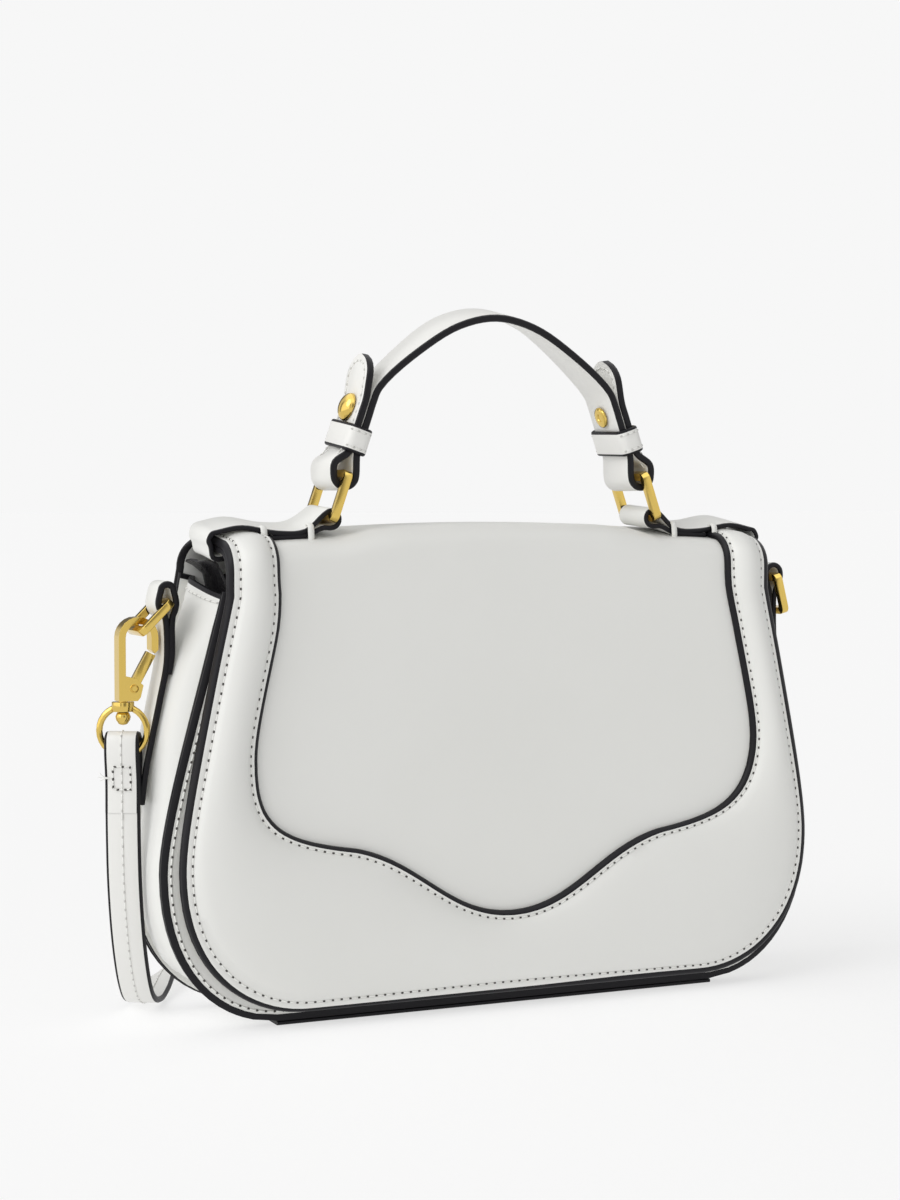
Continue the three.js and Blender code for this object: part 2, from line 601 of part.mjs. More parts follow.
function overlay() {
  const { lower, side } = windowEdge();
  const toLength = (p) => flat(p.x, p.y - FLAP_BOTTOM);
  const innerLow = lower.map(toLength);
  const outerLow = [
    flat(0, 0),
    ...flapSide.filter((p) => p.y < WINDOW_WIDEST).map(toLength),
    flat(halfWidthAt(flapSide, WINDOW_WIDEST), WINDOW_WIDEST - FLAP_BOTTOM),
  ];
  const outerShares = evenShares(outerLow, OVERLAY_STEPS);
  const innerShares = evenShares(innerLow, OVERLAY_STEPS);
  const half = outerShares.map((outer, i) => ({ outer, inner: innerShares[i] }));
  side.slice(1).map(toLength).forEach((inner) => {
    half.push({ outer: flat(flapHalfAt(inner.y), inner.y), inner });
  });
  const end = TOP_START + TOP_RUN / 2 + HANDLE_WIDTH / 2;
  [...stepsBetween(FRONT_RUN, TOP_START, EDGE_STEPS), end].forEach((length) => {
    half.push({ outer: flat(flapHalfAt(length), length), inner: flat(WINDOW_TOP_HALF, length) });
  });
  const mirror = ({ outer, inner }) => ({ outer: flat(-outer.x, outer.y), inner: flat(-inner.x, inner.y) });
  const shift = (inner) => flat(inner.x + windowShift(inner.y + FLAP_BOTTOM), inner.y);
  const stations = [...half.slice(1).reverse().map(mirror), ...half];
  return loft(stations.map(({ outer, inner }) => overlayRing(outer, shift(inner))));
}

function flap() {
  addPiece('flap_panel', flapSheet(0, 0, FLAP_LENGTH, -LEATHER, 0), 'leather');
  const liningTop = -LEATHER - GAP;
  addPiece('flap_lining',
    flapSheet(LINING_INSET, LINING_INSET, TOP_END, liningTop - LINING, liningTop), 'suede');
  const pocketDepth = FLAP_MAGNET_THICK + 2 * GAP;
  const pocket = barAlongY(MAGNET_R + GAP, 2 * pocketDepth, 0, FLAP_FACE - OVERLAY_LOW, MAGNET_HEIGHT);
  addPiece('flap_overlay', cut(overlay(), pocket), 'leather');
  addPiece('flap_magnet', barAlongY(MAGNET_R, FLAP_MAGNET_THICK, 0,
    FLAP_FACE - OVERLAY_LOW - GAP - FLAP_MAGNET_THICK / 2, MAGNET_HEIGHT), 'steel');
}

// Rings: a rectangular frame of square bar, hanging from the middle of its first bar

function ringFrame(insideWidth, span, bar) {
  const half = insideWidth / 2;
  const outerR = bar;
  const rounded = (x, low, high, radius) => {
    const path = new THREE.Path();
    path.moveTo(-x + radius, low).lineTo(x - radius, low);
    path.absarc(x - radius, low + radius, radius, -Math.PI / 2, 0);
    path.lineTo(x, high - radius);
    path.absarc(x - radius, high - radius, radius, 0, Math.PI / 2);
    path.lineTo(-x + radius, high);
    path.absarc(-x + radius, high - radius, radius, Math.PI / 2, Math.PI);
    path.lineTo(-x, low + radius);
    path.absarc(-x + radius, low + radius, radius, Math.PI, Math.PI * 1.5);
    return path;
  };
  const shape = new THREE.Shape(rounded(half + bar, -bar / 2, span + bar / 2, outerR).getPoints(4));
  shape.holes.push(new THREE.Path(rounded(half, bar / 2, span - bar / 2, outerR / 4).getPoints(2)));
  const frame = new THREE.ExtrudeGeometry(shape, { depth: bar, bevelEnabled: false });
  return frame.translate(0, 0, -bar / 2).rotateX(Math.PI / 2).rotateZ(Math.PI / 2);
}

const turningRadius = (bar) => (bar / 2) * Math.SQRT2 + BAR_ROOM;

// Handle tabs: folded round the ring, along the top, over the overlay and under the flap's end

const TAB_LOOP_R = turningRadius(HANDLE_RING_BAR) + HANDLE_TAB_LEATHER / 2;
const HANDLE_RING_Z = FLAP_TOP + GAP + HANDLE_TAB_LEATHER / 2 + TAB_LOOP_R;
const TAB_CURL_OUT = 3.6;      // how far the curl stands beyond the flap's end

function handleTab(side) {
  const ring = flat(HANDLE_RING_X, HANDLE_RING_Z);
  const half = HANDLE_TAB_LEATHER / 2;
  const low = FLAP_TOP + GAP + half;
  const high = low + HANDLE_TAB_LEATHER + GAP;
  const padMiddle = (FLAP_TOP_HALF + WINDOW_TOP_HALF) / 2;
  const overPad = FLAP_TOP - droopAt(padMiddle) + OVERLAY_TOP + OVERLAY_CROWN + 3 * GAP + half;
  const flapEnd = FLAP_TOP - FLAP_DROOP;
  const underEnd = flapEnd - LEATHER - LINING - 2 * GAP - half;
  const points = [
    flat(WINDOW_TOP_HALF - HANDLE_TAB_LEATHER, low), flat(HANDLE_RING_X + TAB_LOOP_R, low),
    ...arcPoints(ring, TAB_LOOP_R, -90, -315, 7),
    flat(HANDLE_RING_X + 3 * TAB_LOOP_R, high), flat(WINDOW_TOP_HALF - 3 * HANDLE_TAB_LEATHER, high),
    flat(padMiddle, overPad), flat(FLAP_TOP_HALF - 3 * half, overPad - 2 * half),
    flat(FLAP_TOP_HALF + TAB_CURL_OUT * 0.6, flapEnd + OVERLAY_TOP + OVERLAY_CROWN),
    flat(FLAP_TOP_HALF + TAB_CURL_OUT, flapEnd + OVERLAY_TOP),
    flat(FLAP_TOP_HALF + TAB_CURL_OUT * 0.75, flapEnd - half),
    flat(FLAP_TOP_HALF + half, underEnd), flat(FLAP_TOP_HALF - TAB_CURL_OUT, underEnd),
    flat(FLAP_TOP_HALF - 2 * TAB_CURL_OUT, underEnd + half),
  ];
  const path = smoothPath(points.map((p) => flat(side * p.x, p.y)));
  return ribbon(path, HANDLE_TAB_LEATHER, HANDLE_Y - HANDLE_WIDTH / 2, HANDLE_Y + HANDLE_WIDTH / 2);
}

// Handle: its ends pass round the rings, turn up outside and are held by keeper and stud

const lean = HANDLE_RING_LEAN * DEGREE;
const HANDLE_BAR = flat(HANDLE_RING_X - HANDLE_RING_SPAN * Math.sin(lean),
  HANDLE_RING_Z + HANDLE_RING_SPAN * Math.cos(lean));
const HANDLE_LOOP_R = turningRadius(HANDLE_RING_BAR) + HANDLE_LEATHER / 2;
const HANDLE_LOOP_ROOM = 0.5;  // extra room in the loops, which the sway of the handle takes up
const HANDLE_LOOP = HANDLE_LOOP_R + HANDLE_LOOP_ROOM;
const DOUBLED_LEAN = 18.9;     // degrees inward
const DOUBLED_RISE = 7.2;      // start of the doubled length above the ring's bar
const DOUBLED_INSET = 4.5;     // and inward of it
const TAIL_LEAN = 10;
const ARCH_SHOULDER = flat(ARCH_SHOULDER_X, ARCH_SHOULDER_Z);
const ARCH_MIDDLE = flat(ARCH_MIDDLE_X, ARCH_MIDDLE_Z);
const ARCH_CROWN = flat(ARCH_CROWN_X, ARCH_CROWN_Z);

const doubledAlong = flat(-Math.sin(DOUBLED_LEAN * DEGREE), Math.cos(DOUBLED_LEAN * DEGREE));
const doubledOut = flat(doubledAlong.y, -doubledAlong.x);
const DOUBLED_START = flat(HANDLE_BAR.x - DOUBLED_INSET, HANDLE_BAR.y + DOUBLED_RISE);
const LAYER_STEP = HANDLE_LEATHER + GAP;

// A place beside the doubled length: along it, and outward from the middle of the handle's strap
const besideHandle = (along, out) => DOUBLED_START.clone()
  .addScaledVector(doubledAlong, along).addScaledVector(doubledOut, out);

function handlePath() {
  const tailTop = besideHandle(DOUBLED_LENGTH, LAYER_STEP);
  const tailAlong = flat(-Math.sin(TAIL_LEAN * DEGREE), Math.cos(TAIL_LEAN * DEGREE));
  const half = [
    tailTop.clone().addScaledVector(tailAlong, TAIL_LENGTH),
    tailTop.clone().addScaledVector(tailAlong, TAIL_LENGTH / 2),
    ...[1, 0.75, 0.5, 0.25, 0].map((share) => besideHandle(DOUBLED_LENGTH * share, LAYER_STEP)),
    flat(HANDLE_BAR.x + HANDLE_LOOP * 0.9, HANDLE_BAR.y + HANDLE_LOOP),
    ...arcPoints(HANDLE_BAR, HANDLE_LOOP, 0, -180, 6),
    ...[0, 0.25, 0.5, 0.75, 1].map((share) => besideHandle(DOUBLED_LENGTH * share, 0)),
    ARCH_SHOULDER, ARCH_MIDDLE, ARCH_CROWN,
  ];
  return smoothPath([...half, flat(0, ARCH_TOP), ...mirrored(half)]);
}

// The arch is rolled a little, more so towards its top
function rolled(geometry) {
  const places = geometry.getAttribute('position');
  for (let i = 0; i < places.count; i += 1) {
    const towardsBack = (places.getY(i) - HANDLE_Y) / (HANDLE_WIDTH / 2);
    const share = ease((places.getZ(i) - ARCH_SHOULDER.y) / (ARCH_TOP - ARCH_SHOULDER.y));
    places.setZ(i, places.getZ(i) + ARCH_ROLL * towardsBack * share);
  }
  return geometry;
}

// A round piece turned about the stud's line, which points out from the handle
function onStudLine(profile, side, out) {
  const lathe = new THREE.LatheGeometry(profile, 18);
  const turned = side * (90 - DOUBLED_LEAN) * DEGREE;
  const place = besideHandle(STUD_AT, out);
  return lathe.rotateX(Math.PI / 2).rotateY(turned).translate(side * place.x, HANDLE_Y, place.y);
}

function handle() {
  const half = HANDLE_WIDTH / 2;
  const postLength = LAYER_STEP + HANDLE_LEATHER + 2 * GAP;
  const headFoot = LAYER_STEP + HANDLE_LEATHER / 2 + GAP;
  const baseTop = -HANDLE_LEATHER / 2 - GAP;
  const hole = [flat(0, -3 * HANDLE_LEATHER), flat(STUD_POST_R + GAP, -3 * HANDLE_LEATHER),
    flat(STUD_POST_R + GAP, 3 * HANDLE_LEATHER), flat(0, 3 * HANDLE_LEATHER)];
  const head = [flat(0, -postLength), flat(STUD_POST_R, -postLength), flat(STUD_POST_R, 0),
    flat(STUD_HEAD_R, 0), flat(STUD_HEAD_R, STUD_HEAD_H * 0.35), flat(STUD_HEAD_R * 0.82, STUD_HEAD_H * 0.7),
    flat(STUD_HEAD_R * 0.48, STUD_HEAD_H * 0.94), flat(0, STUD_HEAD_H)];
  const base = [flat(0, -STUD_BASE_H), flat(STUD_BASE_R * 0.8, -STUD_BASE_H),
    flat(STUD_BASE_R, -STUD_BASE_H * 0.5), flat(STUD_BASE_R, -GAP), flat(0, -GAP)];
  const strap = rolled(ribbon(handlePath(), HANDLE_LEATHER, HANDLE_Y - half, HANDLE_Y + half));
  addPiece('handle_strap',
    cut(strap, onStudLine(hole, 1, LAYER_STEP / 2), onStudLine(hole, -1, LAYER_STEP / 2)), 'leather');

  const keeperMiddle = besideHandle(KEEPER_AT, LAYER_STEP / 2);
  const insideThick = LAYER_STEP + HANDLE_LEATHER + 2 * GAP;
  const insideWide = HANDLE_WIDTH + 2 * GAP;
  for (const [name, side] of [['left', -1], ['right', 1]]) {
    addPiece(`handle_stud_${name}`, onStudLine(head, side, headFoot), 'gold');
    addPiece(`handle_stud_base_${name}`, onStudLine(base, side, baseTop), 'gold');
    const outside = new THREE.BoxGeometry(
      insideThick + 2 * KEEPER_WALL, insideWide + 2 * KEEPER_WALL, KEEPER_HEIGHT);
    const inside = new THREE.BoxGeometry(insideThick, insideWide, 2 * KEEPER_HEIGHT);
    const keeper = addPiece(`handle_keeper_${name}`, cut(outside, inside), 'leather');
    keeper.position.set(side * keeperMiddle.x, HANDLE_Y, keeperMiddle.y);
    keeper.rotation.y = -side * DOUBLED_LEAN * DEGREE;
    addPiece(`handle_tab_${name}`, handleTab(side), 'leather');
    const ring = addPiece(`handle_ring_${name}`,
      ringFrame(HANDLE_WIDTH + RING_SIDE_ROOM, HANDLE_RING_SPAN, HANDLE_RING_BAR), 'gold');
    ring.position.set(side * HANDLE_RING_X, HANDLE_Y, HANDLE_RING_Z);
    ring.rotation.y = -side * lean;
  }
}

// Side tabs and rings

const SIDE_LOOP_R = turningRadius(SIDE_RING_BAR) + TAB_LEATHER / 2;
const sideNormals = normalsOf(bodySide);
const gussetMiddle = bodySide.map((p, i) =>
  p.clone().addScaledVector(sideNormals[i], FLANGE - bulgeAt(p.y)));
const gussetFace = (z) => halfWidthAt(gussetMiddle, z) + GAP;

function sideTab(name, side) {
  const [ringX, ringZ] = [SIDE_RING_X[name], SIDE_RING_Z[name]];
  const sewn = (z) => flat(gussetFace(z) + GAP + TAB_LEATHER / 2, z);
  const sewnTop = sewn(SIDE_TAB_SEWN_HIGH);
  const neck = ringX + SIDE_TAB_NECK_OUT;
  const layerStep = TAB_LEATHER + GAP;
  const turnedEnd = ringZ - SIDE_TAB_TURNED;
  // Below the ring's bar the layers draw together: share of the way out, and drop in loop radii
  const below = [[0, 2.4], [0.2, 1.45], [0.76, 0.75]];
  const drawn = (from, to) => below.map(([share, drop]) =>
    flat(from + share * (to - from), ringZ - drop * SIDE_LOOP_R));
  const outside = drawn(neck, ringX + SIDE_LOOP_R);
  const inside = drawn(neck - layerStep, ringX - SIDE_LOOP_R).reverse();
  const points = [
    sewn(SIDE_TAB_SEWN_LOW), sewn((SIDE_TAB_SEWN_LOW + SIDE_TAB_SEWN_HIGH) / 2), sewnTop,
    flat((sewnTop.x + neck) / 2, (sewnTop.y + turnedEnd) / 2 + layerStep),
    flat(neck, turnedEnd + 2 * layerStep), ...outside,
    flat(ringX + SIDE_LOOP_R, ringZ),
    ...arcPoints(flat(ringX, ringZ + SIDE_LOOP_RISE[name]), SIDE_LOOP_R, 0, 180, 6),
    flat(ringX - SIDE_LOOP_R, ringZ), ...inside,
    flat(neck - layerStep, turnedEnd + 2 * layerStep), flat(neck - layerStep, turnedEnd),
  ];
  const path = smoothPath(points.map((p) => flat(side * p.x, p.y)));
  return ribbon(path, TAB_LEATHER, -STRAP_WIDTH / 2, STRAP_WIDTH / 2);
}

function sideRings() {
  for (const [name, side] of [['left', -1], ['right', 1]]) {
    addPiece(`side_tab_${name}`, sideTab(name, side), 'leather');
    const ring = addPiece(`side_ring_${name}`,
      ringFrame(STRAP_WIDTH + RING_SIDE_ROOM, SIDE_RING_SPAN, SIDE_RING_BAR), 'gold');
    ring.position.set(side * SIDE_RING_X[name], 0, SIDE_RING_Z[name]);
    ring.rotation.y = Math.PI - side * SIDE_RING_LEAN[name] * DEGREE;
  }
}

// Snap hook with its gate, pin and spring, the swivel stud, and the ring that holds the strap

function hookBody() {
  const eye = flat(HOOK_BAR_RIGHT + HOOK_EYE_R, HOOK_EYE_Z);
  const armLeft = HOOK_BAR_RIGHT + 2 * HOOK_EYE_R;
  const outline = [
    flat(HOOK_BAR_LEFT, HOOK_FOOT_Z), flat(CHEEK_RIGHT - HOOK_ARM / 2, HOOK_FOOT_Z),
    flat(CHEEK_RIGHT, HOOK_FOOT_Z + HOOK_ARM / 2), flat(CHEEK_RIGHT, CHEEK_TOP - HOOK_ARM),
    flat(CHEEK_RIGHT - HOOK_ARM, CHEEK_TOP), flat(HOOK_BAR_RIGHT, CHEEK_TOP),
    ...arcPoints(eye, HOOK_EYE_R, 180, 0, 10),
    flat(armLeft, HOOK_NOSE_Z + HOOK_ARM / 2), flat(armLeft + HOOK_ARM / 2, HOOK_NOSE_Z),
    flat(armLeft + HOOK_ARM, HOOK_NOSE_Z + HOOK_ARM / 2),
    ...arcPoints(eye, HOOK_EYE_R + HOOK_ARM, 0, 180, 12),
  ];
  const half = HOOK_THICK / 2;
  const slotBottom = GATE_PIVOT_Z - GATE_LUG_R - GAP;
  const slot = block(HOOK_BAR_RIGHT + GAP / 2, CHEEK_RIGHT + HOOK_ARM, -GATE_SLOT / 2, GATE_SLOT / 2,
    slotBottom, CHEEK_TOP + HOOK_ARM);
  const pinHole = barAlongY(GATE_PIN_R + GAP / 2, 2 * HOOK_THICK, GATE_PIVOT_X, 0, GATE_PIVOT_Z, 14);
  const seat = new THREE.CylinderGeometry(STUD_SHAFT_R + GAP, STUD_SHAFT_R + GAP, HOOK_ARM / 2, 14)
    .rotateX(Math.PI / 2).translate(0, 0, HOOK_FOOT_Z + GAP);
  return cut(slab(outline, -half, half), slot, pinHole, seat);
}

function gateBody() {
  const tip = flat(GATE_TIP_X, GATE_TIP_Z);
  const pivot = flat(GATE_PIVOT_X, GATE_PIVOT_Z);
  const along = tip.clone().sub(pivot).normalize();
  const out = flat(along.y, -along.x);
  const near = GATE_LUG_R * 0.9;
  const corner = (base, length, side) =>
    base.clone().addScaledVector(along, length).addScaledVector(out, (side * GATE_WIDTH) / 2);
  const bar = [corner(pivot, near, -1), corner(pivot, near, 1), corner(tip, 0, 1), corner(tip, 0, -1)];
  const half = GATE_THICK / 2;
  const lug = barAlongY(GATE_LUG_R, GATE_THICK, pivot.x, 0, pivot.y, 18);
  const nestR = SPRING_R + SPRING_WIRE + GAP / 2;
  const nest = barAlongY(nestR, GATE_THICK, pivot.x, -GATE_THICK * 0.3, pivot.y, 18);
  const pinHole = barAlongY(GATE_PIN_R + GAP / 2, 2 * GATE_THICK, pivot.x, 0, pivot.y, 14);
  return cut(join(slab(bar, -half, half), lug), nest, pinHole);
}

function gateSpring() {
  const steps = Math.round(SPRING_TURNS * 10);
  const start = -GATE_THICK / 2 + SPRING_WIRE;
  const sides = 5;
  const rings = Array.from({ length: steps + 1 }, (_, i) => {
    const angle = ((i / steps) * SPRING_TURNS) * 2 * Math.PI;
    const y = start + (i / steps) * SPRING_TURNS * SPRING_PITCH;
    return Array.from({ length: sides }, (__, j) => {
      const around = (j / sides) * 2 * Math.PI;
      const radius = SPRING_R + (SPRING_WIRE / 2) * Math.cos(around);
      return new THREE.Vector3(GATE_PIVOT_X + radius * Math.cos(angle),
        y + (SPRING_WIRE / 2) * Math.sin(around), GATE_PIVOT_Z + radius * Math.sin(angle));
    });
  });
  return loft(rings);
}

function swivelStud() {
  const top = HOOK_FOOT_Z + HOOK_ARM / 2 - GAP;
  const ballTop = -GAP;
  const profile = [
    flat(0, ballTop - 1.7 * STUD_BALL_R), flat(STUD_BALL_R * 0.55, ballTop - 1.55 * STUD_BALL_R),
    flat(STUD_BALL_R * 0.92, ballTop - STUD_BALL_R), flat(STUD_BALL_R, ballTop - STUD_BALL_R * 0.55),
    flat(STUD_BALL_R * 0.75, ballTop), flat(STUD_SHAFT_R, ballTop), flat(STUD_SHAFT_R, top - GAP),
    flat(0, top - GAP),
  ];
  return new THREE.LatheGeometry(profile, 16).rotateX(Math.PI / 2);
}

function eyeRing() {
  const wire = new THREE.TorusGeometry(EYE_RING_R, EYE_WIRE_R, 8, 28)
    .rotateX(Math.PI / 2).translate(0, 0, EYE_RING_Z);
  const collar = new THREE.CylinderGeometry(COLLAR_R, COLLAR_R, COLLAR_H, 20)
    .rotateX(Math.PI / 2).translate(0, 0, COLLAR_H / 2);
  const bore = new THREE.CylinderGeometry(STUD_SHAFT_R + GAP, STUD_SHAFT_R + GAP, 4 * COLLAR_H, 16)
    .rotateX(Math.PI / 2);
  return cut(join(wire, collar), bore);
}

const WIRE_Z = EYE_RING_Z - EYE_RING_R;
const FOLD_R = EYE_WIRE_R + FOLD_ROOM + FOLD_THICK / 2;
const FOLD_STEP = (FOLD_THICK + GAP) / 2;
// The round wire rises towards the edges of the strap, so the fold stands up to clear it
const EYE_INSIDE_R = EYE_RING_R - EYE_WIRE_R;
const WIRE_RISE = EYE_INSIDE_R - Math.sqrt(EYE_INSIDE_R ** 2 - (STRAP_WIDTH / 2) ** 2);

// The end of the strap, folded through its ring. mainSide is the side that the strap goes on from.
// It is drawn as X for the fold's thickness and then turned, so that its width runs along X.
function strapFold(mainSide, spare = 0) {
  const points = [
    flat(-mainSide * FOLD_STEP, WIRE_Z - FOLD_TAIL), flat(-mainSide * FOLD_STEP, WIRE_Z - 3.4 * FOLD_R),
    flat(-mainSide * FOLD_R, WIRE_Z),
    ...arcPoints(flat(0, WIRE_Z + WIRE_RISE), FOLD_R, mainSide > 0 ? 180 : 0, mainSide > 0 ? 0 : 180, 6),
    flat(mainSide * FOLD_R, WIRE_Z),
    flat(mainSide * FOLD_STEP, WIRE_Z - 3.4 * FOLD_R), flat(mainSide * FOLD_STEP, WIRE_Z - FOLD_MAIN - spare),
  ];
  return ribbon(smoothPath(points), FOLD_THICK, -STRAP_WIDTH / 2, STRAP_WIDTH / 2)
    .rotateZ(Math.PI / 2);
}

function snapHook(suffix, group) {
  addPiece(`snap_hook_${suffix}`, hookBody(), 'gold', group);
  addPiece(`snap_gate_${suffix}`, gateBody(), 'gold', group);
  addPiece(`gate_pin_${suffix}`,
    barAlongY(GATE_PIN_R, HOOK_THICK, GATE_PIVOT_X, 0, GATE_PIVOT_Z, 14), 'gold', group);
  addPiece(`gate_spring_${suffix}`, gateSpring(), 'steel', group);
  addPiece(`swivel_stud_${suffix}`, swivelStud(), 'gold', group);
}

// Strap: a flat band along a list of points and turns

function bandAlong(route) {
  const places = route.map(([x, y, z]) => new THREE.Vector3(x, y, z));
  const rings = places.map((p, i) => {
    const before = places[Math.max(i - 1, 0)];
    const after = places[Math.min(i + 1, places.length - 1)];
    const along = after.clone().sub(before).normalize();
    const heading = flat(along.x, along.y).normalize();
    const turn = route[i][3] * DEGREE;
    const level = new THREE.Vector3(heading.y, -heading.x, 0);
    const wide = level.multiplyScalar(Math.cos(turn)).add(new THREE.Vector3(0, 0, Math.sin(turn)));
    wide.addScaledVector(along, -wide.dot(along)).normalize();
    const thick = along.clone().cross(wide);
    return [[-1, -1], [1, -1], [1, 1], [-1, 1]].map(([w, t]) => p.clone()
      .addScaledVector(wide, (w * STRAP_WIDTH) / 2).addScaledVector(thick, (t * STRAP_THICK) / 2));
  });
  return loft(rings);
}

// More points between those of a route, on a smooth curve through them
function finerRoute(route, steps) {
  const stops = route.map(([x, y, z]) => new THREE.Vector3(x, y, z));
  const places = new THREE.CatmullRomCurve3(stops, false, 'centripetal');
  const turns = new THREE.SplineCurve(route.map((stop, i) => flat(i, stop[3])));
  return stepsBetween(0, 1, steps).map((share) => {
    const p = places.getPoint(share);
    return [p.x, p.y, p.z, turns.getPoint(share).y];
  });
}

const COIL_ARC_STEPS = 14;

// Turns of the coil: each half turn is a straight run and a half circle, smaller by half a pitch
function coilRoute() {
  const route = [];
  let y = COIL_Y + COIL_R;
  for (let i = 0; i < COIL_HALF_TURNS; i += 1) {
    const heading = i % 2 === 0 ? 1 : -1;
    const radius = COIL_R - (i * COIL_PITCH) / 2;
    const centreY = y - heading * radius;
    stepsBetween(-heading * COIL_RUN / 2, heading * COIL_RUN / 2, 4).slice(0, -1)
      .forEach((x) => route.push([COIL_X + x, y, COIL_Z, 90]));
    stepsBetween(0, Math.PI, COIL_ARC_STEPS).slice(0, -1).forEach((angle) => route.push([
      COIL_X + heading * (COIL_RUN / 2 + radius * Math.sin(angle)),
      centreY + heading * radius * Math.cos(angle), COIL_Z, 90]));
    y -= heading * 2 * radius;
  }
  const heading = COIL_HALF_TURNS % 2 === 0 ? 1 : -1;
  route.push([COIL_X - (heading * COIL_RUN) / 2, y, COIL_Z, 90]);
  return route;
}

// Least gap between parts of a band that are not neighbours along it
function leastGap(route) {
  const places = route.map(([x, y, z]) => new THREE.Vector3(x, y, z));
  let least = Infinity;
  places.forEach((p, i) => places.slice(i + COIL_ARC_STEPS).forEach((q) => {
    least = Math.min(least, p.distanceTo(q));
  }));
  return least - STRAP_THICK;
}

const STRAP_FINE = 46;
const FAR_FINE = 14;

function strap() {
  // Left end: hangs from the left side ring, its cut square to the line from that ring's upper bar
  const leanOut = SIDE_RING_LEAN.left * DEGREE;
  const barX = -SIDE_RING_X.left - SIDE_RING_SPAN * Math.sin(leanOut);
  const barZ = SIDE_RING_Z.left - SIDE_RING_SPAN * Math.cos(leanOut);
  const stemX = barX - HOOK_BAR_RIGHT - HOOK_EYE_R;
  const hookZ = barZ + turningRadius(SIDE_RING_BAR) - HOOK_EYE_Z - HOOK_EYE_R;
  const left = new THREE.Group();
  left.position.set(stemX, 0, hookZ);
  bag.add(left);
  snapHook('left', left);
  const turned = new THREE.Group();
  turned.rotation.z = STRAP_TURN * DEGREE;
  left.add(turned);
  addPiece('swivel_ring_left', eyeRing(), 'gold', turned);

  const cutZ = hookZ + WIRE_Z - FOLD_MAIN;
  const radial = flat(stemX + SIDE_RING_X.left, cutZ - SIDE_RING_Z.left).normalize();
  const cutBlock = (gapSide) => {
    const size = 4 * STRAP_WIDTH;
    const middle = flat(stemX, cutZ).addScaledVector(radial, gapSide * (size / 2 - GAP / 2));
    return new THREE.BoxGeometry(size, size, size)
      .rotateY(Math.atan2(-radial.x, -radial.y)).translate(middle.x, 0, middle.y);
  };
  const fold = strapFold(-1, STRAP_WIDTH / 2).rotateZ(STRAP_TURN * DEGREE).translate(stemX, 0, hookZ);
  addPiece('strap_end_left', cut(fold, cutBlock(1)), 'leather');
  const heading = flat(-Math.sin(STRAP_TURN * DEGREE), Math.cos(STRAP_TURN * DEGREE));
  const fall = STRAP_FALL.map(([along, z, turn]) => [
    stemX + (along - FOLD_STEP) * heading.x, (along - FOLD_STEP) * heading.y, z, turn]);
  const drop = bandAlong(finerRoute([...fall, ...FLOOR_ROUTE], STRAP_FINE));
  addPiece('strap_drop', cut(drop, cutBlock(-1)), 'leather');

  // Coil, and the far end lying inside it
  const turns = coilRoute();
  const farEnd = [FAR_HOOK_X - WIRE_Z + FOLD_MAIN + GAP, FAR_HOOK_Y, FAR_HOOK_Z - FOLD_STEP, 0];
  const whole = [...turns, ...finerRoute([turns.at(-1), ...FAR_ROUTE, farEnd], FAR_FINE).slice(1)];
  addPiece('strap_coil', bandAlong(whole), 'leather');
  console.log(`strap coil, least gap to itself: ${leastGap(whole).toFixed(2)} mm`);

  const far = new THREE.Group();
  far.position.set(FAR_HOOK_X, FAR_HOOK_Y, FAR_HOOK_Z);
  far.rotation.setFromRotationMatrix(new THREE.Matrix4().makeBasis(
    new THREE.Vector3(0, 1, 0), new THREE.Vector3(0, 0, -1), new THREE.Vector3(-1, 0, 0)));
  bag.add(far);
  snapHook('far', far);
  addPiece('swivel_ring_far', eyeRing(), 'gold', far);
  addPiece('strap_end_far', strapFold(1), 'leather', far);

  const half = STRAP_THICK / 2 + TIE_ROOM;
  const innerLow = COIL_Y + COIL_R - COIL_PITCH * Math.floor(COIL_HALF_TURNS / 2) - half;
  const innerHigh = COIL_Y + COIL_R + half;
  const low = COIL_Z - STRAP_WIDTH / 2 - GAP;
  const high = COIL_Z + STRAP_WIDTH / 2 + TIE_ROOM;
  const band = block(COIL_X - TIE_WIDTH / 2, COIL_X + TIE_WIDTH / 2,
    innerLow - TIE_WALL, innerHigh + TIE_WALL, low - TIE_WALL, high + TIE_WALL);
  const room = block(COIL_X - TIE_WIDTH, COIL_X + TIE_WIDTH, innerLow, innerHigh, low, high);
  addPiece('coil_tie', cut(band, room), 'tie');
}

bodyPanels();
gussets();
lining();
flap();
handle();
sideRings();
strap();

export default bag;
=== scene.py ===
"""A white leather crossbody bag with a padded flap, a top handle and a long strap.

Sizes are in millimetres and become metres where a point is placed. X runs across the bag,
-Y is the front and +Z is up.
"""
import json
import math

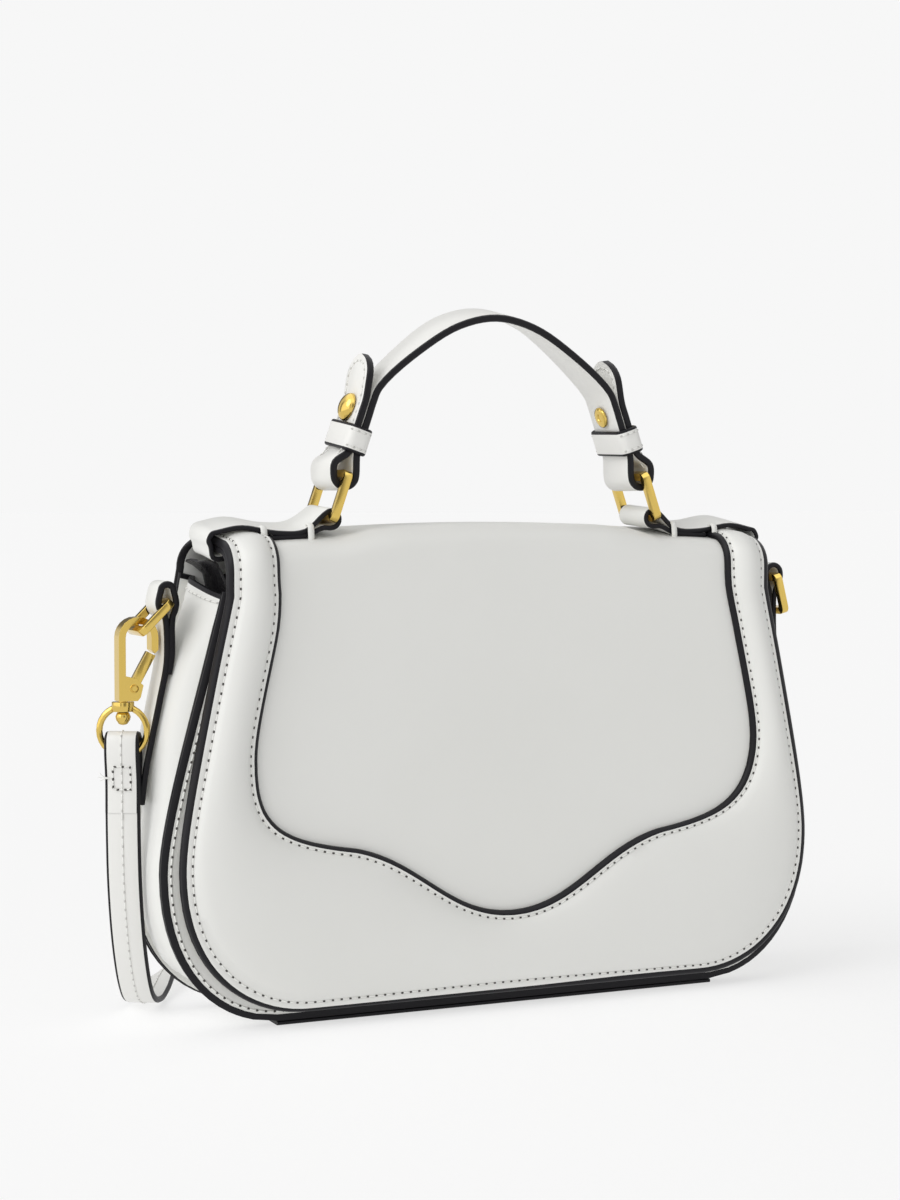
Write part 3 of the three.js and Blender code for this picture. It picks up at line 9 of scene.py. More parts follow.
import bmesh
import bpy
from mathutils import Matrix, Vector
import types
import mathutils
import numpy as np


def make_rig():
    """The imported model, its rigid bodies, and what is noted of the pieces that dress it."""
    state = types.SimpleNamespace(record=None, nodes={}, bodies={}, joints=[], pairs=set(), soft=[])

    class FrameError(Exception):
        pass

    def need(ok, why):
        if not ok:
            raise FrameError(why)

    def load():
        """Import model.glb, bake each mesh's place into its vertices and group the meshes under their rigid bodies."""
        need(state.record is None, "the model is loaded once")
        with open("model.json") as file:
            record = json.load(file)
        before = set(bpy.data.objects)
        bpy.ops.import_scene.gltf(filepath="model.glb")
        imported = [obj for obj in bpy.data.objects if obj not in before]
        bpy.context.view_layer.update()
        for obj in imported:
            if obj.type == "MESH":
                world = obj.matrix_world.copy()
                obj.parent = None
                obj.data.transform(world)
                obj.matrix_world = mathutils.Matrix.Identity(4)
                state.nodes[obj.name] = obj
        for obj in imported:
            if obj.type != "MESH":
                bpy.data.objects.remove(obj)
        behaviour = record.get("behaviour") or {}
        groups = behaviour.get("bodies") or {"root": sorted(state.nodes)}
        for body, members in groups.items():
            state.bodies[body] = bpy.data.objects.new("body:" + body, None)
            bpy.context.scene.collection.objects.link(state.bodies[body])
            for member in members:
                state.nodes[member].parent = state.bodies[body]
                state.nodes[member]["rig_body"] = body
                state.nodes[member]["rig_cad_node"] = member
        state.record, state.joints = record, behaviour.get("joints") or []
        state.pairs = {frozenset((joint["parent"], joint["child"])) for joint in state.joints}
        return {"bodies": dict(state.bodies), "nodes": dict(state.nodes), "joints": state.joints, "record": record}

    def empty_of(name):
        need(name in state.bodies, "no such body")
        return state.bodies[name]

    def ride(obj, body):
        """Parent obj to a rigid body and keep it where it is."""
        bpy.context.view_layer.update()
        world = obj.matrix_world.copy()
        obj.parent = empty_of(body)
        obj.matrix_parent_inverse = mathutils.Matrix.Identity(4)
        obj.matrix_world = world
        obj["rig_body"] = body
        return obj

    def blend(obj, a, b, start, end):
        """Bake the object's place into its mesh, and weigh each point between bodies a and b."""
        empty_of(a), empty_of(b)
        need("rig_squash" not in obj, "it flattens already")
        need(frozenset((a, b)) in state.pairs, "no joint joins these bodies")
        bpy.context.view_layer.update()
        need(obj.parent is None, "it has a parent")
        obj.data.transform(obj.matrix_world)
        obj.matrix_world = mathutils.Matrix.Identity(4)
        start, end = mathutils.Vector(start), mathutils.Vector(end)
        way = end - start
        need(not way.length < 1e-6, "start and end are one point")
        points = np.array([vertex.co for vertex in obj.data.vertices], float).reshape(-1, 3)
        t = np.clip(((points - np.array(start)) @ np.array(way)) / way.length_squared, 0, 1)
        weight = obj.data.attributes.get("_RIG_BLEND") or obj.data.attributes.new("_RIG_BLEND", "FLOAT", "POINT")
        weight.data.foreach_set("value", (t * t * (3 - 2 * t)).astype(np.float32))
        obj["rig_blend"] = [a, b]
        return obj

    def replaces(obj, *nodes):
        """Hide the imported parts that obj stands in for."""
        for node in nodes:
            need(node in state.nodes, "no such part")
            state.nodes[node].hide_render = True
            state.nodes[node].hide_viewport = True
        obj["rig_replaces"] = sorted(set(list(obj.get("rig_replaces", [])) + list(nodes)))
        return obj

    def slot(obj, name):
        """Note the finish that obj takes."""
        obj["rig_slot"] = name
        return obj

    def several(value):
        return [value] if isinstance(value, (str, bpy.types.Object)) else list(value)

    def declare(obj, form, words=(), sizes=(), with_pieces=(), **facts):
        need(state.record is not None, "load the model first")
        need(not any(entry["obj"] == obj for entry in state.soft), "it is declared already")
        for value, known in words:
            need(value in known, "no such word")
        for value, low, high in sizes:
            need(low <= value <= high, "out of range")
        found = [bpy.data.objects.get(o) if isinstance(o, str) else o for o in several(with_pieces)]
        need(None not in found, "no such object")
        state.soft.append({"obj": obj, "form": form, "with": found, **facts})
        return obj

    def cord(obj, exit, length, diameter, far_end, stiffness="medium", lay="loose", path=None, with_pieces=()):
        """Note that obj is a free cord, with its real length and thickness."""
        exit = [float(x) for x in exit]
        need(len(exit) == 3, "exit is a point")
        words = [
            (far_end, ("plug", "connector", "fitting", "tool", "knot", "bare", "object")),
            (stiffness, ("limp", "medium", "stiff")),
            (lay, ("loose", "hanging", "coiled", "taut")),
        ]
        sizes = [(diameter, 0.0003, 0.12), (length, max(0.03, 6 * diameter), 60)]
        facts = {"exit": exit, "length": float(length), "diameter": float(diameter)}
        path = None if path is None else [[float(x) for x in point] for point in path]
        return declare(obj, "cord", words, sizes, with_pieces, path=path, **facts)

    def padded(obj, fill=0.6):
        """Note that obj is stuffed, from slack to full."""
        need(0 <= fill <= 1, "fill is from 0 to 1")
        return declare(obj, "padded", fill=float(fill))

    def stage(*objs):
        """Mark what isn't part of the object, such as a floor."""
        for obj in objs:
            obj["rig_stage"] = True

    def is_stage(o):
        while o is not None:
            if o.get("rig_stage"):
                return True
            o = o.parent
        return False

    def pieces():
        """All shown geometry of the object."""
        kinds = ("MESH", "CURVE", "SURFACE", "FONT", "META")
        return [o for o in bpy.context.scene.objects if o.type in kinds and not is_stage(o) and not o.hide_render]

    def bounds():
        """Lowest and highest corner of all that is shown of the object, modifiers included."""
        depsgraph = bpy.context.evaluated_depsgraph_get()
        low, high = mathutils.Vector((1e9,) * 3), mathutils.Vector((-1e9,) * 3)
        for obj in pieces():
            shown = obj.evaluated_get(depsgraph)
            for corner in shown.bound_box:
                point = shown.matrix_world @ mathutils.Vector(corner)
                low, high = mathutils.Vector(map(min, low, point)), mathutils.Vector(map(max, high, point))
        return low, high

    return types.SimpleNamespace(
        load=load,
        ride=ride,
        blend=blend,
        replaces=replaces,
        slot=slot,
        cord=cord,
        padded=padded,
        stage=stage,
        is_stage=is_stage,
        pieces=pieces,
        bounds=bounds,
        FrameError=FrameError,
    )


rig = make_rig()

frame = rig.load()
cad_box = [list(corner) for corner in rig.bounds()]

MM = 0.001
GAP = 0.3

# Body
LEATHER = 2.0
FRONT_FACE = -20.1
BACK_FACE = 20.1
PANEL_FOOT = 1.6
BASE_HALF = 85
BASE_THICK = 1.3
BODY_TOP = 147.6
BACK_TOP_HALF = 107.5
BODY_SIDE = (BASE_HALF, PANEL_FOOT, 125.8, 53.6, 103.6, BODY_TOP)
BACK_SIDE = (BASE_HALF, PANEL_FOOT, 125.8, 53.6, BACK_TOP_HALF, 154.4)
GUSSET_LEATHER = 1.8
GUSSET_RISE = 7.6
GUSSET_DIP = 1.8
GUSSET_BULGE = 5
TOP_EDGE_RUN = 14
FLANGE = 5
LINING = 0.8
LINING_RIPPLE = 0.9
LINING_RIM = 9.8
RIM_SPREAD = 6.5
BACK_SAG = 1.2
PAINT_WIDTH = 2.3

# Flap
FLAP_BOTTOM = 5.6
FLAP_FACE = -26.2
FLAP_TOP = 168.4
FLAP_TOP_HALF = 104.4
FLAP_SIDE = (78, FLAP_BOTTOM, 121.2, 55, FLAP_TOP_HALF, 149.6)
FLAP_DROOP = 2.6
FLAP_CROWN = 2
TOP_SLOPE = 3.5
DROOP_FROM = 62
DROOP_RUN = 40
FRONT_EDGE_R = 9
BACK_EDGE_R = 14
HINGE_Z = FLAP_TOP - BACK_EDGE_R
HINGE_STARTS_BELOW = 4.4
HINGE_BEND = Vector((0, -2.11, 0.604))
FLAP_PAINT = 0.7
BACK_PAINT = 2.4
DENT_DEPTH = 0.9
FRONT_RUN = FLAP_TOP - FRONT_EDGE_R - FLAP_BOTTOM
TOP_RUN = BACK_FACE - BACK_EDGE_R - FLAP_FACE - FRONT_EDGE_R
TOP_START = FRONT_RUN + FRONT_EDGE_R * math.pi / 2
TOP_END = TOP_START + TOP_RUN
FLAP_LENGTH = TOP_END + BACK_EDGE_R * math.pi / 2

# Padded overlay
OVERLAY_LOW = 0.3
OVERLAY_TOP = 2.5
OVERLAY_CROWN = 3.2
OUTER_SEAM = 3.9
INNER_SEAM = 2.8
WINDOW_TOP_HALF = 86.2
WINDOW_HALF = 96
WINDOW_WIDEST = 91.6
WINDOW_STRAIGHT = 149.6
WAVE_END = (58, 59.6)
WAVE_LOW = 34.4
WINDOW_SHIFT = 1.5
SHIFT_FADES_FROM = 132
SHIFT_FADE = 28
PAD_STEPS = 14
GROOVE = 0.35

# Handle
HANDLE_WIDTH = 20
HANDLE_LEATHER = 2.6
HANDLE_Y = FLAP_FACE + FRONT_EDGE_R + TOP_RUN / 2
HANDLE_RING = Vector((63, 0, 172.2))
HANDLE_BAR = Vector((57.921, 0, 186.95))
HANDLE_LOOP = 4.1
DOUBLED_START = Vector((53.421, 0, 194.15))
DOUBLED_LEAN = math.radians(18.9)
DOUBLED_LENGTH = 19
LAYER_STEP = HANDLE_LEATHER + GAP
TAIL_LENGTH = 16
TAIL_LEAN = math.radians(10)
TAIL_ROUND = 8.5
TAIL_SEAM = 7.5
TAIL_SEAM_RISE = 6.2
ARCH = [Vector((45, 0, 217)), Vector((30.3, 0, 230.6)), Vector((15, 0, 240.6))]
ARCH_TOP = 244
ARCH_ROLL = 1.9
KEEPER_AT = 5.6
KEEPER_HEIGHT = 9.5
KEEPER_WALL = 1.4
KEEPER_CORNER = 2.2
KEEPER_SEAM = 2.9
KEEPER_TILT = {-1: 0.12, 1: 0.03}
TAB_LEATHER = 1.2
TAB_LOOP = 2.9
TAB_OPENS = 3.4 * TAB_LOOP
TAB_CURL = 2.4

# Side tabs and the left end of the strap
SIDE_TAB_LEATHER = 1.6
SIDE_TAB_WIDTH = 13
SIDE_TAB_THICK = {"left": 2.3, "right": 1.9}
SIDE_LOOP = 3.1
SIDE_RING = {"left": (118.6, 143.6, 4, 2.3), "right": (120.6, 149.2, 1.4, 3.1)}
SIDE_TAB_SEWN_LOW = 76
SIDE_TAB_SEWN_HIGH = 100
SIDE_TAB_TURNED = 24
SIDE_TAB_LEAN = {"left": 5, "right": 0}
SIDE_TAB_LIFT = {"left": 1.4, "right": 0}
STRAP_WIDTH = 12
STRAP_THICK = 2.2
STRAP_TURN = math.radians(-28.7)
STEM_X = -132.592
HOOK_Z = 107.166
WIRE_Z = -14.7
WIRE_RISE = 7 - math.sqrt(7 ** 2 - 6.5 ** 2)
FOLD_THICK = 2.25
FOLD_R = 2.5
FOLD_OPENS = 3.4 * FOLD_R
FOLD_STEP = 1.15
FOLD_TAIL = 17
FOLD_MAIN = 19.5
STRAP_TOP = HOOK_Z + WIRE_Z - FOLD_MAIN + 1.5
FAR_HOOK = Vector((-22, 49, 3.8))
STRAP_STEPS = 3
STRAP_RESTS = Vector((-125, 15, 12))

# Strap: how far it has gone along its heading, its height, and its turn from flat to on edge
STRAP_FALL = [
    (0, 79, 0), (0.55, 64, 0), (1.55, 52, 0), (3.95, 40.2, 0), (7.35, 29.6, 0), (11.75, 20, 0),
    (16.95, 12, 0), (23.15, 6.1, 0), (31.15, 2.8, 0), (40.15, 1.7, 0), (51.15, 2.4, 8),
]
FLOOR_ROUTE = [
    (-102, 56.5, 3.9, 22), (-93.5, 68.5, 6.0, 46), (-83, 79, 7.1, 70), (-70, 87.2, 7.4, 85),
    (-54, 92.6, 7.5, 90), (-35.3, 94, 7.5, 90),
]
FAR_ROUTE = [
    (55, 41.0, 7.4, 85), (46, 43.2, 7.1, 69), (37, 46.0, 6.0, 45), (29, 48.0, 4.2, 22),
    (21, 48.9, 2.9, 6), (12.5, 49, 2.65, 0),
]
COIL_X = 15
COIL_Y = 62
COIL_RUN = 100
COIL_R = 32
COIL_PITCH = 5.2
COIL_HALF_TURNS = 5
COIL_Z = 7.5
TIE_MIDDLE = Vector((COIL_X, COIL_Y + COIL_R - 5.2, 7.55))
TIE_HALF = (7.05, 7.1)
TIE_CORNER = 0.8
TIE_WIDTH = 8
TIE_THICK = 0.5

# Stitches
STITCH = 3.2
STITCH_GAP = 0.3
THREAD = 0.32
FINE_STITCH = 2.6
HANDLE_STITCH = 3.0
FINE_THREAD = 0.26
THREAD_RISE = 0.05
HOLE_R = 0.42
HOLE_SHAPE = (1.7, 0.9, 1)
HOLE_FACES = 20
FRONT_SEAM = 3.4
BACK_SEAM = 3
TOP_SEAM = 3.4
TOP_SEAM_REACH = 0.93
BOX_HALF = 3.0
BOX_LOW = 80.9
BOX_HIGH = 88.7
LOOSE_ENDS = ((1.7, 1.7), (0.3, 2.2), (-1.0, 1.4))
LOOSE_THREAD = (0.17, 0.14)
TACKS = (("inner", 71), ("outer", 88))
TACK_THREAD = (1.15, 0.6)

# Metal parts
RING_EDGE = {"handle": 0.75, "side": 0.7}
STUD_AT = 15.6
STUD_POST = (1.3, 6.1)
STUD_HEAD = (5.1, 3.5)
HOOK_EDGE = 0.85
GATE_EDGE = 0.5
SWIVEL_EDGE = 0.25
WIRE_EDGE = 0.2
BAR_RIGHT = 0.3
CHEEK_RIGHT = 6.4
CHEEK_TOP = 12
CHEEK_SLOPE = 1.6
CHEEK_SHOULDER = 8.5
PIN = Vector((3.2, 0, 7.7))
PIN_ROOM = 1.8

SIDES = (("left", -1), ("right", 1))


# Curves

def ease(share):
    share = min(max(share, 0), 1)
    return share * share * (3 - 2 * share)


def bezier(start, pull, draw, end, steps):
    """Points of a cubic curve in the XZ plane, from (x, z) pairs."""
    points = []
    for i in range(steps + 1):
        t = i / steps
        weights = ((1 - t) ** 3, 3 * t * (1 - t) ** 2, 3 * t * t * (1 - t), t ** 3)
        corners = (start, pull, draw, end)
        x = sum(w * c[0] for w, c in zip(weights, corners))
        z = sum(w * c[1] for w, c in zip(weights, corners))
        points.append(Vector((x, 0, z)))
    return points


def side_outline(foot_half, foot, half, widest, top_half, top, steps=16):
    """Right side of a panel: a full lower corner, then a side that draws in."""
    reach = half - foot_half
    rise = top - widest
    corner = bezier(
        (foot_half, foot), (foot_half + 0.43 * reach, foot),
        (half, foot + 0.28 * (widest - foot)), (half, widest), steps)
    side = bezier(
        (half, widest), (half, widest + 0.2 * rise),
        (top_half + 0.32 * (half - top_half), widest + 0.67 * rise), (top_half, top), steps)
    return corner + side[1:]


def half_at(outline, z):
    """Half width of an outline at a height."""
    if z <= outline[0].z:
        return outline[0].x
    for low, high in zip(outline, outline[1:]):
        if z <= high.z:
            return low.x + (high.x - low.x) * (z - low.z) / max(high.z - low.z, 1e-6)
    return outline[-1].x


def smooth(points, steps=4):
    """More points on a smooth curve through the given ones."""
    places = [2 * points[0] - points[1], *points, 2 * points[-1] - points[-2]]
    finer = []
    for before, start, end, after in zip(places, places[1:], places[2:], places[3:]):
        knots = [0.0]
        for a, b in ((before, start), (start, end), (end, after)):
            knots.append(knots[-1] + max((b - a).length, 1e-6) ** 0.5)
        k0, k1, k2, k3 = knots
        for i in range(steps):
            t = k1 + (k2 - k1) * i / steps
            early = before.lerp(start, (t - k0) / (k1 - k0))
            middle = start.lerp(end, (t - k1) / (k2 - k1))
            late = end.lerp(after, (t - k2) / (k3 - k2))
            first = early.lerp(middle, (t - k0) / (k2 - k0))
            second = middle.lerp(late, (t - k1) / (k3 - k1))
            finer.append(first.lerp(second, (t - k1) / (k2 - k1)))
    return finer + [points[-1].copy()]


def lengths_along(path):
    """Length of a path up to each of its points."""
    lengths = [0.0]
    for a, b in zip(path, path[1:]):
        lengths.append(lengths[-1] + (b - a).length)
    return lengths


def evenly(path, steps):
    """Points at even shares of a path's length."""
    lengths = lengths_along(path)
    points = []
    part = 1
    for i in range(steps + 1):
        wanted = lengths[-1] * i / steps
        while part < len(path) - 1 and lengths[part] < wanted:
            part += 1
        run = lengths[part] - lengths[part - 1]
        points.append(path[part - 1].lerp(path[part], (wanted - lengths[part - 1]) / run))
    return points


def arc(centre, radius, start, end, steps):
    """Points of an arc in the XZ plane, by degrees."""
    points = []
    for i in range(steps + 1):
        angle = math.radians(start + (end - start) * i / steps)
        points.append(centre + radius * Vector((math.cos(angle), 0, math.sin(angle))))
    return points


def mirrored(path):
    return [to_side(p, -1) for p in reversed(path)]


def headings(path, loop=False):
    """Direction of a path at each of its points."""
    last = len(path) - 1
    found = []
    for i in range(len(path)):
        before = path[i - 1] if i or loop else path[0]
        after = path[(i + 1) % len(path)] if i < last or loop else path[last]
        found.append((after - before).normalized())
    return found


def inward(along):
    """Into a panel, from a heading along its outline."""
    return Vector((-along.z, 0, along.x))


def inset(outline, depth):
    """A line that runs inside an outline."""
    return [place + inward(along) * depth for place, along in zip(outline, headings(outline))]


def to_side(place, side):
    """The same place or direction on the left or the right of the bag."""
    return Vector((side * place.x, place.y, place.z))


def rounded(half_wide, half_high, corner, steps):
    """Points of a rounded oblong about its middle."""
    points = []
    for turn, (u, v) in enumerate(((1, 1), (-1, 1), (-1, -1), (1, -1))):
        for step in range(steps + 1):
            angle = math.pi / 2 * (turn + step / steps)
            points.append((u * (half_wide - corner) + corner * math.cos(angle),
                           v * (half_high - corner) + corner * math.sin(angle)))
    return points


def oval(across, upward, wide, high, count):
    """Points of an oval about its middle, between two directions."""
    points = []
    for i in range(count):
        angle = 2 * math.pi * i / count
        points.append(across * (wide * math.cos(angle)) + upward * (high * math.sin(angle)))
    return points


# Modelling

def begin(name, place):
    """Starts a piece as one loose point, ready to be extruded."""
    bpy.ops.object.select_all(action="DESELECT")
    bpy.ops.mesh.primitive_plane_add(size=MM, location=(0, 0, 0))
    piece = bpy.context.object
    piece.name = name
    piece.data.name = name
    bpy.ops.object.mode_set(mode="EDIT")
    bpy.ops.mesh.select_mode(type="VERT")
    bpy.ops.mesh.select_all(action="SELECT")
    bpy.ops.mesh.merge(type="CENTER")
    bpy.ops.transform.translate(value=place * MM)
    bpy.ops.object.mode_set(mode="OBJECT")
    bpy.ops.object.mode_set(mode="EDIT")
    bpy.ops.mesh.select_all(action="SELECT")
    return piece


def pick(piece, numbers):
    """Selects points of the piece in edit mode by their numbers."""
    bpy.ops.mesh.select_all(action="DESELECT")
    shape = bmesh.from_edit_mesh(piece.data)
    shape.verts.ensure_lookup_table()
    for number in numbers:
        shape.verts[number].select = True
    shape.select_flush(True)
    bmesh.update_edit_mesh(piece.data)


def sweep(name, rings, painted=(), loop=False, open_end=False, painted_rows=(0, 0)):
    """Draws the first ring, extrudes it from ring to ring and closes both ends.

    The strips that begin at the painted points, the ends, and as many rows next to each end as
    painted_rows says, take the second material.
    """
    count = len(rings[0])
    piece = begin(name, rings[0][0])
    for here, there in zip(rings[0], rings[0][1:]):
        bpy.ops.mesh.extrude_region_move(TRANSFORM_OT_translate={"value": (there - here) * MM})
    pick(piece, (0, count - 1))
    bpy.ops.mesh.edge_face_add()
    bpy.ops.mesh.select_all(action="SELECT")
    for ring in rings[1:] + rings[:1] * loop:
        bpy.ops.mesh.extrude_region_move()
        shape = bmesh.from_edit_mesh(piece.data)
        shape.verts.ensure_lookup_table()
        for point, place in zip(shape.verts[len(shape.verts) - count:], ring):
            point.co = place * MM
        bmesh.update_edit_mesh(piece.data)
    if not loop:
        if not open_end:
            bpy.ops.mesh.edge_face_add()
        pick(piece, range(count))
        bpy.ops.mesh.edge_face_add()
    bpy.ops.object.mode_set(mode="OBJECT")
    last_row = len(rings) - 1 - painted_rows[1]
    for face in piece.data.polygons:
        spots = sorted({number % count for number in face.vertices})
        row = min(face.vertices) // count
        strip = count - 1 if spots == [0, count - 1] else spots[0]
        at_end = len(spots) > 2 or (not loop and not painted_rows[0] <= row < last_row)
        face.material_index = 1 if at_end or strip in painted else 0
    bpy.ops.object.mode_set(mode="EDIT")
    bpy.ops.mesh.select_all(action="SELECT")
    bpy.ops.mesh.remove_doubles(threshold=MM * 1e-3)
    bpy.ops.mesh.normals_make_consistent(inside=False)
    bpy.ops.object.mode_set(mode="OBJECT")
    return piece


BAND_PAINTED = (0, 1, 2, 3, 6, 7, 8, 9)


def band(name, path, wides, thickness, edge, loop=False, flat=False):
    """A strip of leather along a path, with painted and rounded edges.

    Each of wides runs from the middle of the strip to its edge.
    """
    rings = []
    for place, along, reach in zip(path, headings(path, loop), wides):
        wide = (reach - along * reach.dot(along)).normalized()
        thick = along.cross(wide)
        half = reach.length
        half_thick = thickness / 2
        inner = half - min(edge, half * 0.6)
        brow = half - 0.3 * (half - inner)
        profile = [
            (inner, 1), (brow, 0.72), (half, 0), (brow, -0.72), (inner, -1), (0, -1),
            (-inner, -1), (-brow, -0.72), (-half, 0), (-brow, 0.72), (-inner, 1), (0, 1)]
        rings.append([place + wide * w + thick * (t * half_thick) for w, t in profile])
    return sweep(name, rings, () if flat else BAND_PAINTED, loop)


SHEET_COLUMNS = [-1, -0.96, -0.92, -0.88, -0.84, -0.79, -0.74, -0.67, -0.6, -0.48, -0.36, -0.24, -0.12, 0]
SHEET_COLUMNS += [-share for share in reversed(SHEET_COLUMNS[:-1])]


def sheet(name, rows, thickness, painted_rows=(0, 0)):
    """A panel of leather with painted edges.

    Each row is its half width, the half width that is left unpainted on its face, and what places
    (x, height) in it.
    """
    rings = []
    for half, bare, place in rows:
        face = [place(share * bare, 0) for share in SHEET_COLUMNS]
        back = [place(share * bare, -thickness) for share in reversed(SHEET_COLUMNS)]
        brow = (3 * half + bare) / 4
        rim = ((brow, 0.08), (half, 0.3), (half, 0.7), (brow, 0.92))
        right = [place(x, -t * thickness) for x, t in rim]
        left = [place(-x, -t * thickness) for x, t in reversed(rim)]
        rings.append(face + right + back + left)
    columns = len(SHEET_COLUMNS)
    painted = [*range(columns - 1, columns + 4), *range(2 * columns + 3, 2 * columns + 8)]
    return sweep(name, rings, painted, painted_rows=painted_rows)


def select_only(piece):
    bpy.ops.object.select_all(action="DESELECT")
    piece.select_set(True)
    bpy.context.view_layer.objects.active = piece


def apply_modifier(piece, kind, **settings):
    select_only(piece)
    modifier = piece.modifiers.new(kind.title(), kind)
    for setting, value in settings.items():
        setattr(modifier, setting, value)
    bpy.ops.object.modifier_apply(modifier=modifier.name)


def settle(piece, finishes, slot, body=None, nodes=(), angle=40):
    """Gives a finished piece its materials and shading, and says what it stands for."""
    select_only(piece)
    for finish in finishes:
        piece.data.materials.append(finish)
    bpy.ops.object.shade_smooth_by_angle(angle=math.radians(angle))
    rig.slot(piece, slot)
    if body:
        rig.ride(piece, body)
    if nodes:
        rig.replaces(piece, *nodes)
    return piece


def strip(name, path, wide, thickness, edge, finishes, body, node, slot="leather", **shape):
    """A strip of even width along a path, or of the widths in a list, with its finish."""
    wides = wide if isinstance(wide, list) else [wide] * len(path)
    return settle(band(name, path, wides, thickness, edge, **shape), finishes, slot, body, [node])


def refined(node, body, finish, slot, bevel=0.35, segments=3, angle=35, reshape=None):
    """A metal part with eased edges, made from a copy of its solid.

    Where its points are moved by reshape, its flat sides keep even normals.
    """
    select_only(frame["nodes"][node])
    bpy.ops.object.duplicate()
    piece = bpy.context.object
    piece.parent = None
    piece.name = node + "_finished"
    piece.data.materials.clear()
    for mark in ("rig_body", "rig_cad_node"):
        del piece[mark]
    bpy.ops.object.mode_set(mode="EDIT")
    bpy.ops.mesh.select_all(action="SELECT")
    bpy.ops.mesh.remove_doubles(threshold=MM * 1e-2)
    bpy.ops.mesh.dissolve_limited(angle_limit=math.radians(1))
    if reshape:
        for point in bmesh.from_edit_mesh(piece.data).verts:
            point.co = reshape(point.co / MM) * MM
        bmesh.update_edit_mesh(piece.data)
    bpy.ops.object.mode_set(mode="OBJECT")
    if bevel:
        apply_modifier(piece, "BEVEL", width=bevel * MM, segments=segments, limit_method="ANGLE",
                       angle_limit=math.radians(angle), harden_normals=False)
    settle(piece, [finish], slot, body, [node], 50)
    if reshape:
        apply_modifier(piece, "WEIGHTED_NORMAL", keep_sharp=True)
    return piece


def turned(name, profile, place, axis, finish, body, nodes):
    """A round metal part about an axis, from pairs of a radius and a distance along the axis."""
    across = axis.orthogonal().normalized()
    upward = axis.cross(across)
    rings = []
    for radius, along in profile:
        middle = place + axis * along
        rings.append([middle + spoke for spoke in oval(across, upward, radius, radius, 24)])
    return settle(sweep(name, rings), (finish, finish), "gold", body, nodes, 45)


# Materials

def add_node(tree, kind, inputs=None, **settings):
    node = tree.nodes.new(kind)
    for setting, value in settings.items():
        setattr(node, setting, value)
    for label, value in (inputs or {}).items():
        node.inputs[label].default_value = value
    return node


def join(tree, *links):
    """Links sockets: each link is a node, its output, another node and its input."""
    for source, output, target, entry in links:
        tree.links.new(source.outputs[output], target.inputs[entry])


def effect(name, inputs, outputs):
    """A node group with named inputs and outputs."""
    group = bpy.data.node_groups.new(name, "ShaderNodeTree")
    for label, value in inputs.items():
        kind = "NodeSocketFloat" if isinstance(value, (int, float)) else "NodeSocketColor"
        socket = group.interface.new_socket(label, in_out="INPUT", socket_type=kind)
        socket.default_value = value
    for label, kind in outputs.items():
        group.interface.new_socket(label, in_out="OUTPUT", socket_type=kind)
    return group, group.nodes.new("NodeGroupInput"), group.nodes.new("NodeGroupOutput")


def make_grain():
    """Fine leather grain: small cells with soft creases, and a slow unevenness."""
    group, given, result = effect(
        "leather_grain", {"Scale": 900.0, "Crease": 0.25},
        {"Height": "NodeSocketFloat", "Tone": "NodeSocketFloat"})
    place = add_node(group, "ShaderNodeTexCoord")
    cells = add_node(group, "ShaderNodeTexVoronoi", feature="DISTANCE_TO_EDGE")
    folds = add_node(group, "ShaderNodeTexNoise", {"Scale": 60.0, "Detail": 3.0})
    tone = add_node(group, "ShaderNodeTexNoise", {"Scale": 14.0, "Detail": 4.0})
    edges = add_node(group, "ShaderNodeMapRange", {"From Min": 0.0, "From Max": 0.12})
    height = add_node(group, "ShaderNodeMix", data_type="FLOAT")
    join(group, *[(place, "Object", texture, "Vector") for texture in (cells, folds, tone)],
         (given, "Scale", cells, "Scale"), (cells, "Distance", edges, "Value"),
         (given, "Crease", height, 0), (folds, "Fac", height, 2), (edges, "Result", height, 3),
         (height, 0, result, "Height"), (tone, "Fac", result, "Tone"))
    return group


def make_uneven():
    """Slow and fine unevenness, for handled metal and paint."""
    group, given, result = effect(
        "uneven_surface", {"Scale": 120.0, "Contrast": 0.5},
        {"Slow": "NodeSocketFloat", "Fine": "NodeSocketFloat"})
    place = add_node(group, "ShaderNodeTexCoord")
    slow = add_node(group, "ShaderNodeTexNoise", {"Detail": 3.0})
    fine = add_node(group, "ShaderNodeTexNoise", {"Scale": 2400.0, "Detail": 2.0})
    spread = add_node(group, "ShaderNodeMapRange", {"To Min": 0.5})
    join(group, *[(place, "Object", texture, "Vector") for texture in (slow, fine)],
         (given, "Scale", slow, "Scale"), (slow, "Fac", spread, "Value"),
         (given, "Contrast", spread, "To Max"), (spread, "Result", result, "Slow"),
         (fine, "Fac", result, "Fine"))
    return group


grain = make_grain()
uneven = make_uneven()


def new_material(name, **shader_inputs):
    material = bpy.data.materials.new(name)
    material.use_nodes = True
    shader = material.node_tree.nodes["Principled BSDF"]
    for label, value in shader_inputs.items():
        shader.inputs[label.replace("_", " ")].default_value = value
    return material, material.node_tree, shader


def place_effect(tree, group, **values):
    return add_node(tree, "ShaderNodeGroup", values, node_tree=group)


def between(tree, factor, low, high):
    """A colour or a value that goes from low to high with a factor."""
    if isinstance(low, (int, float)):
        mix = add_node(tree, "ShaderNodeMix", {2: low, 3: high}, data_type="FLOAT")
        result = mix.outputs[0]
    else:
        mix = add_node(tree, "ShaderNodeMix", {6: (*low, 1), 7: (*high, 1)}, data_type="RGBA")
        result = mix.outputs[2]
    tree.links.new(factor, mix.inputs[0])
    return result


def bump(tree, shader, height, strength, distance):
    relief = add_node(tree, "ShaderNodeBump", {"Strength": strength, "Distance": distance * MM})
    tree.links.new(height, relief.inputs["Height"])
    join(tree, (relief, "Normal", shader, "Normal"))


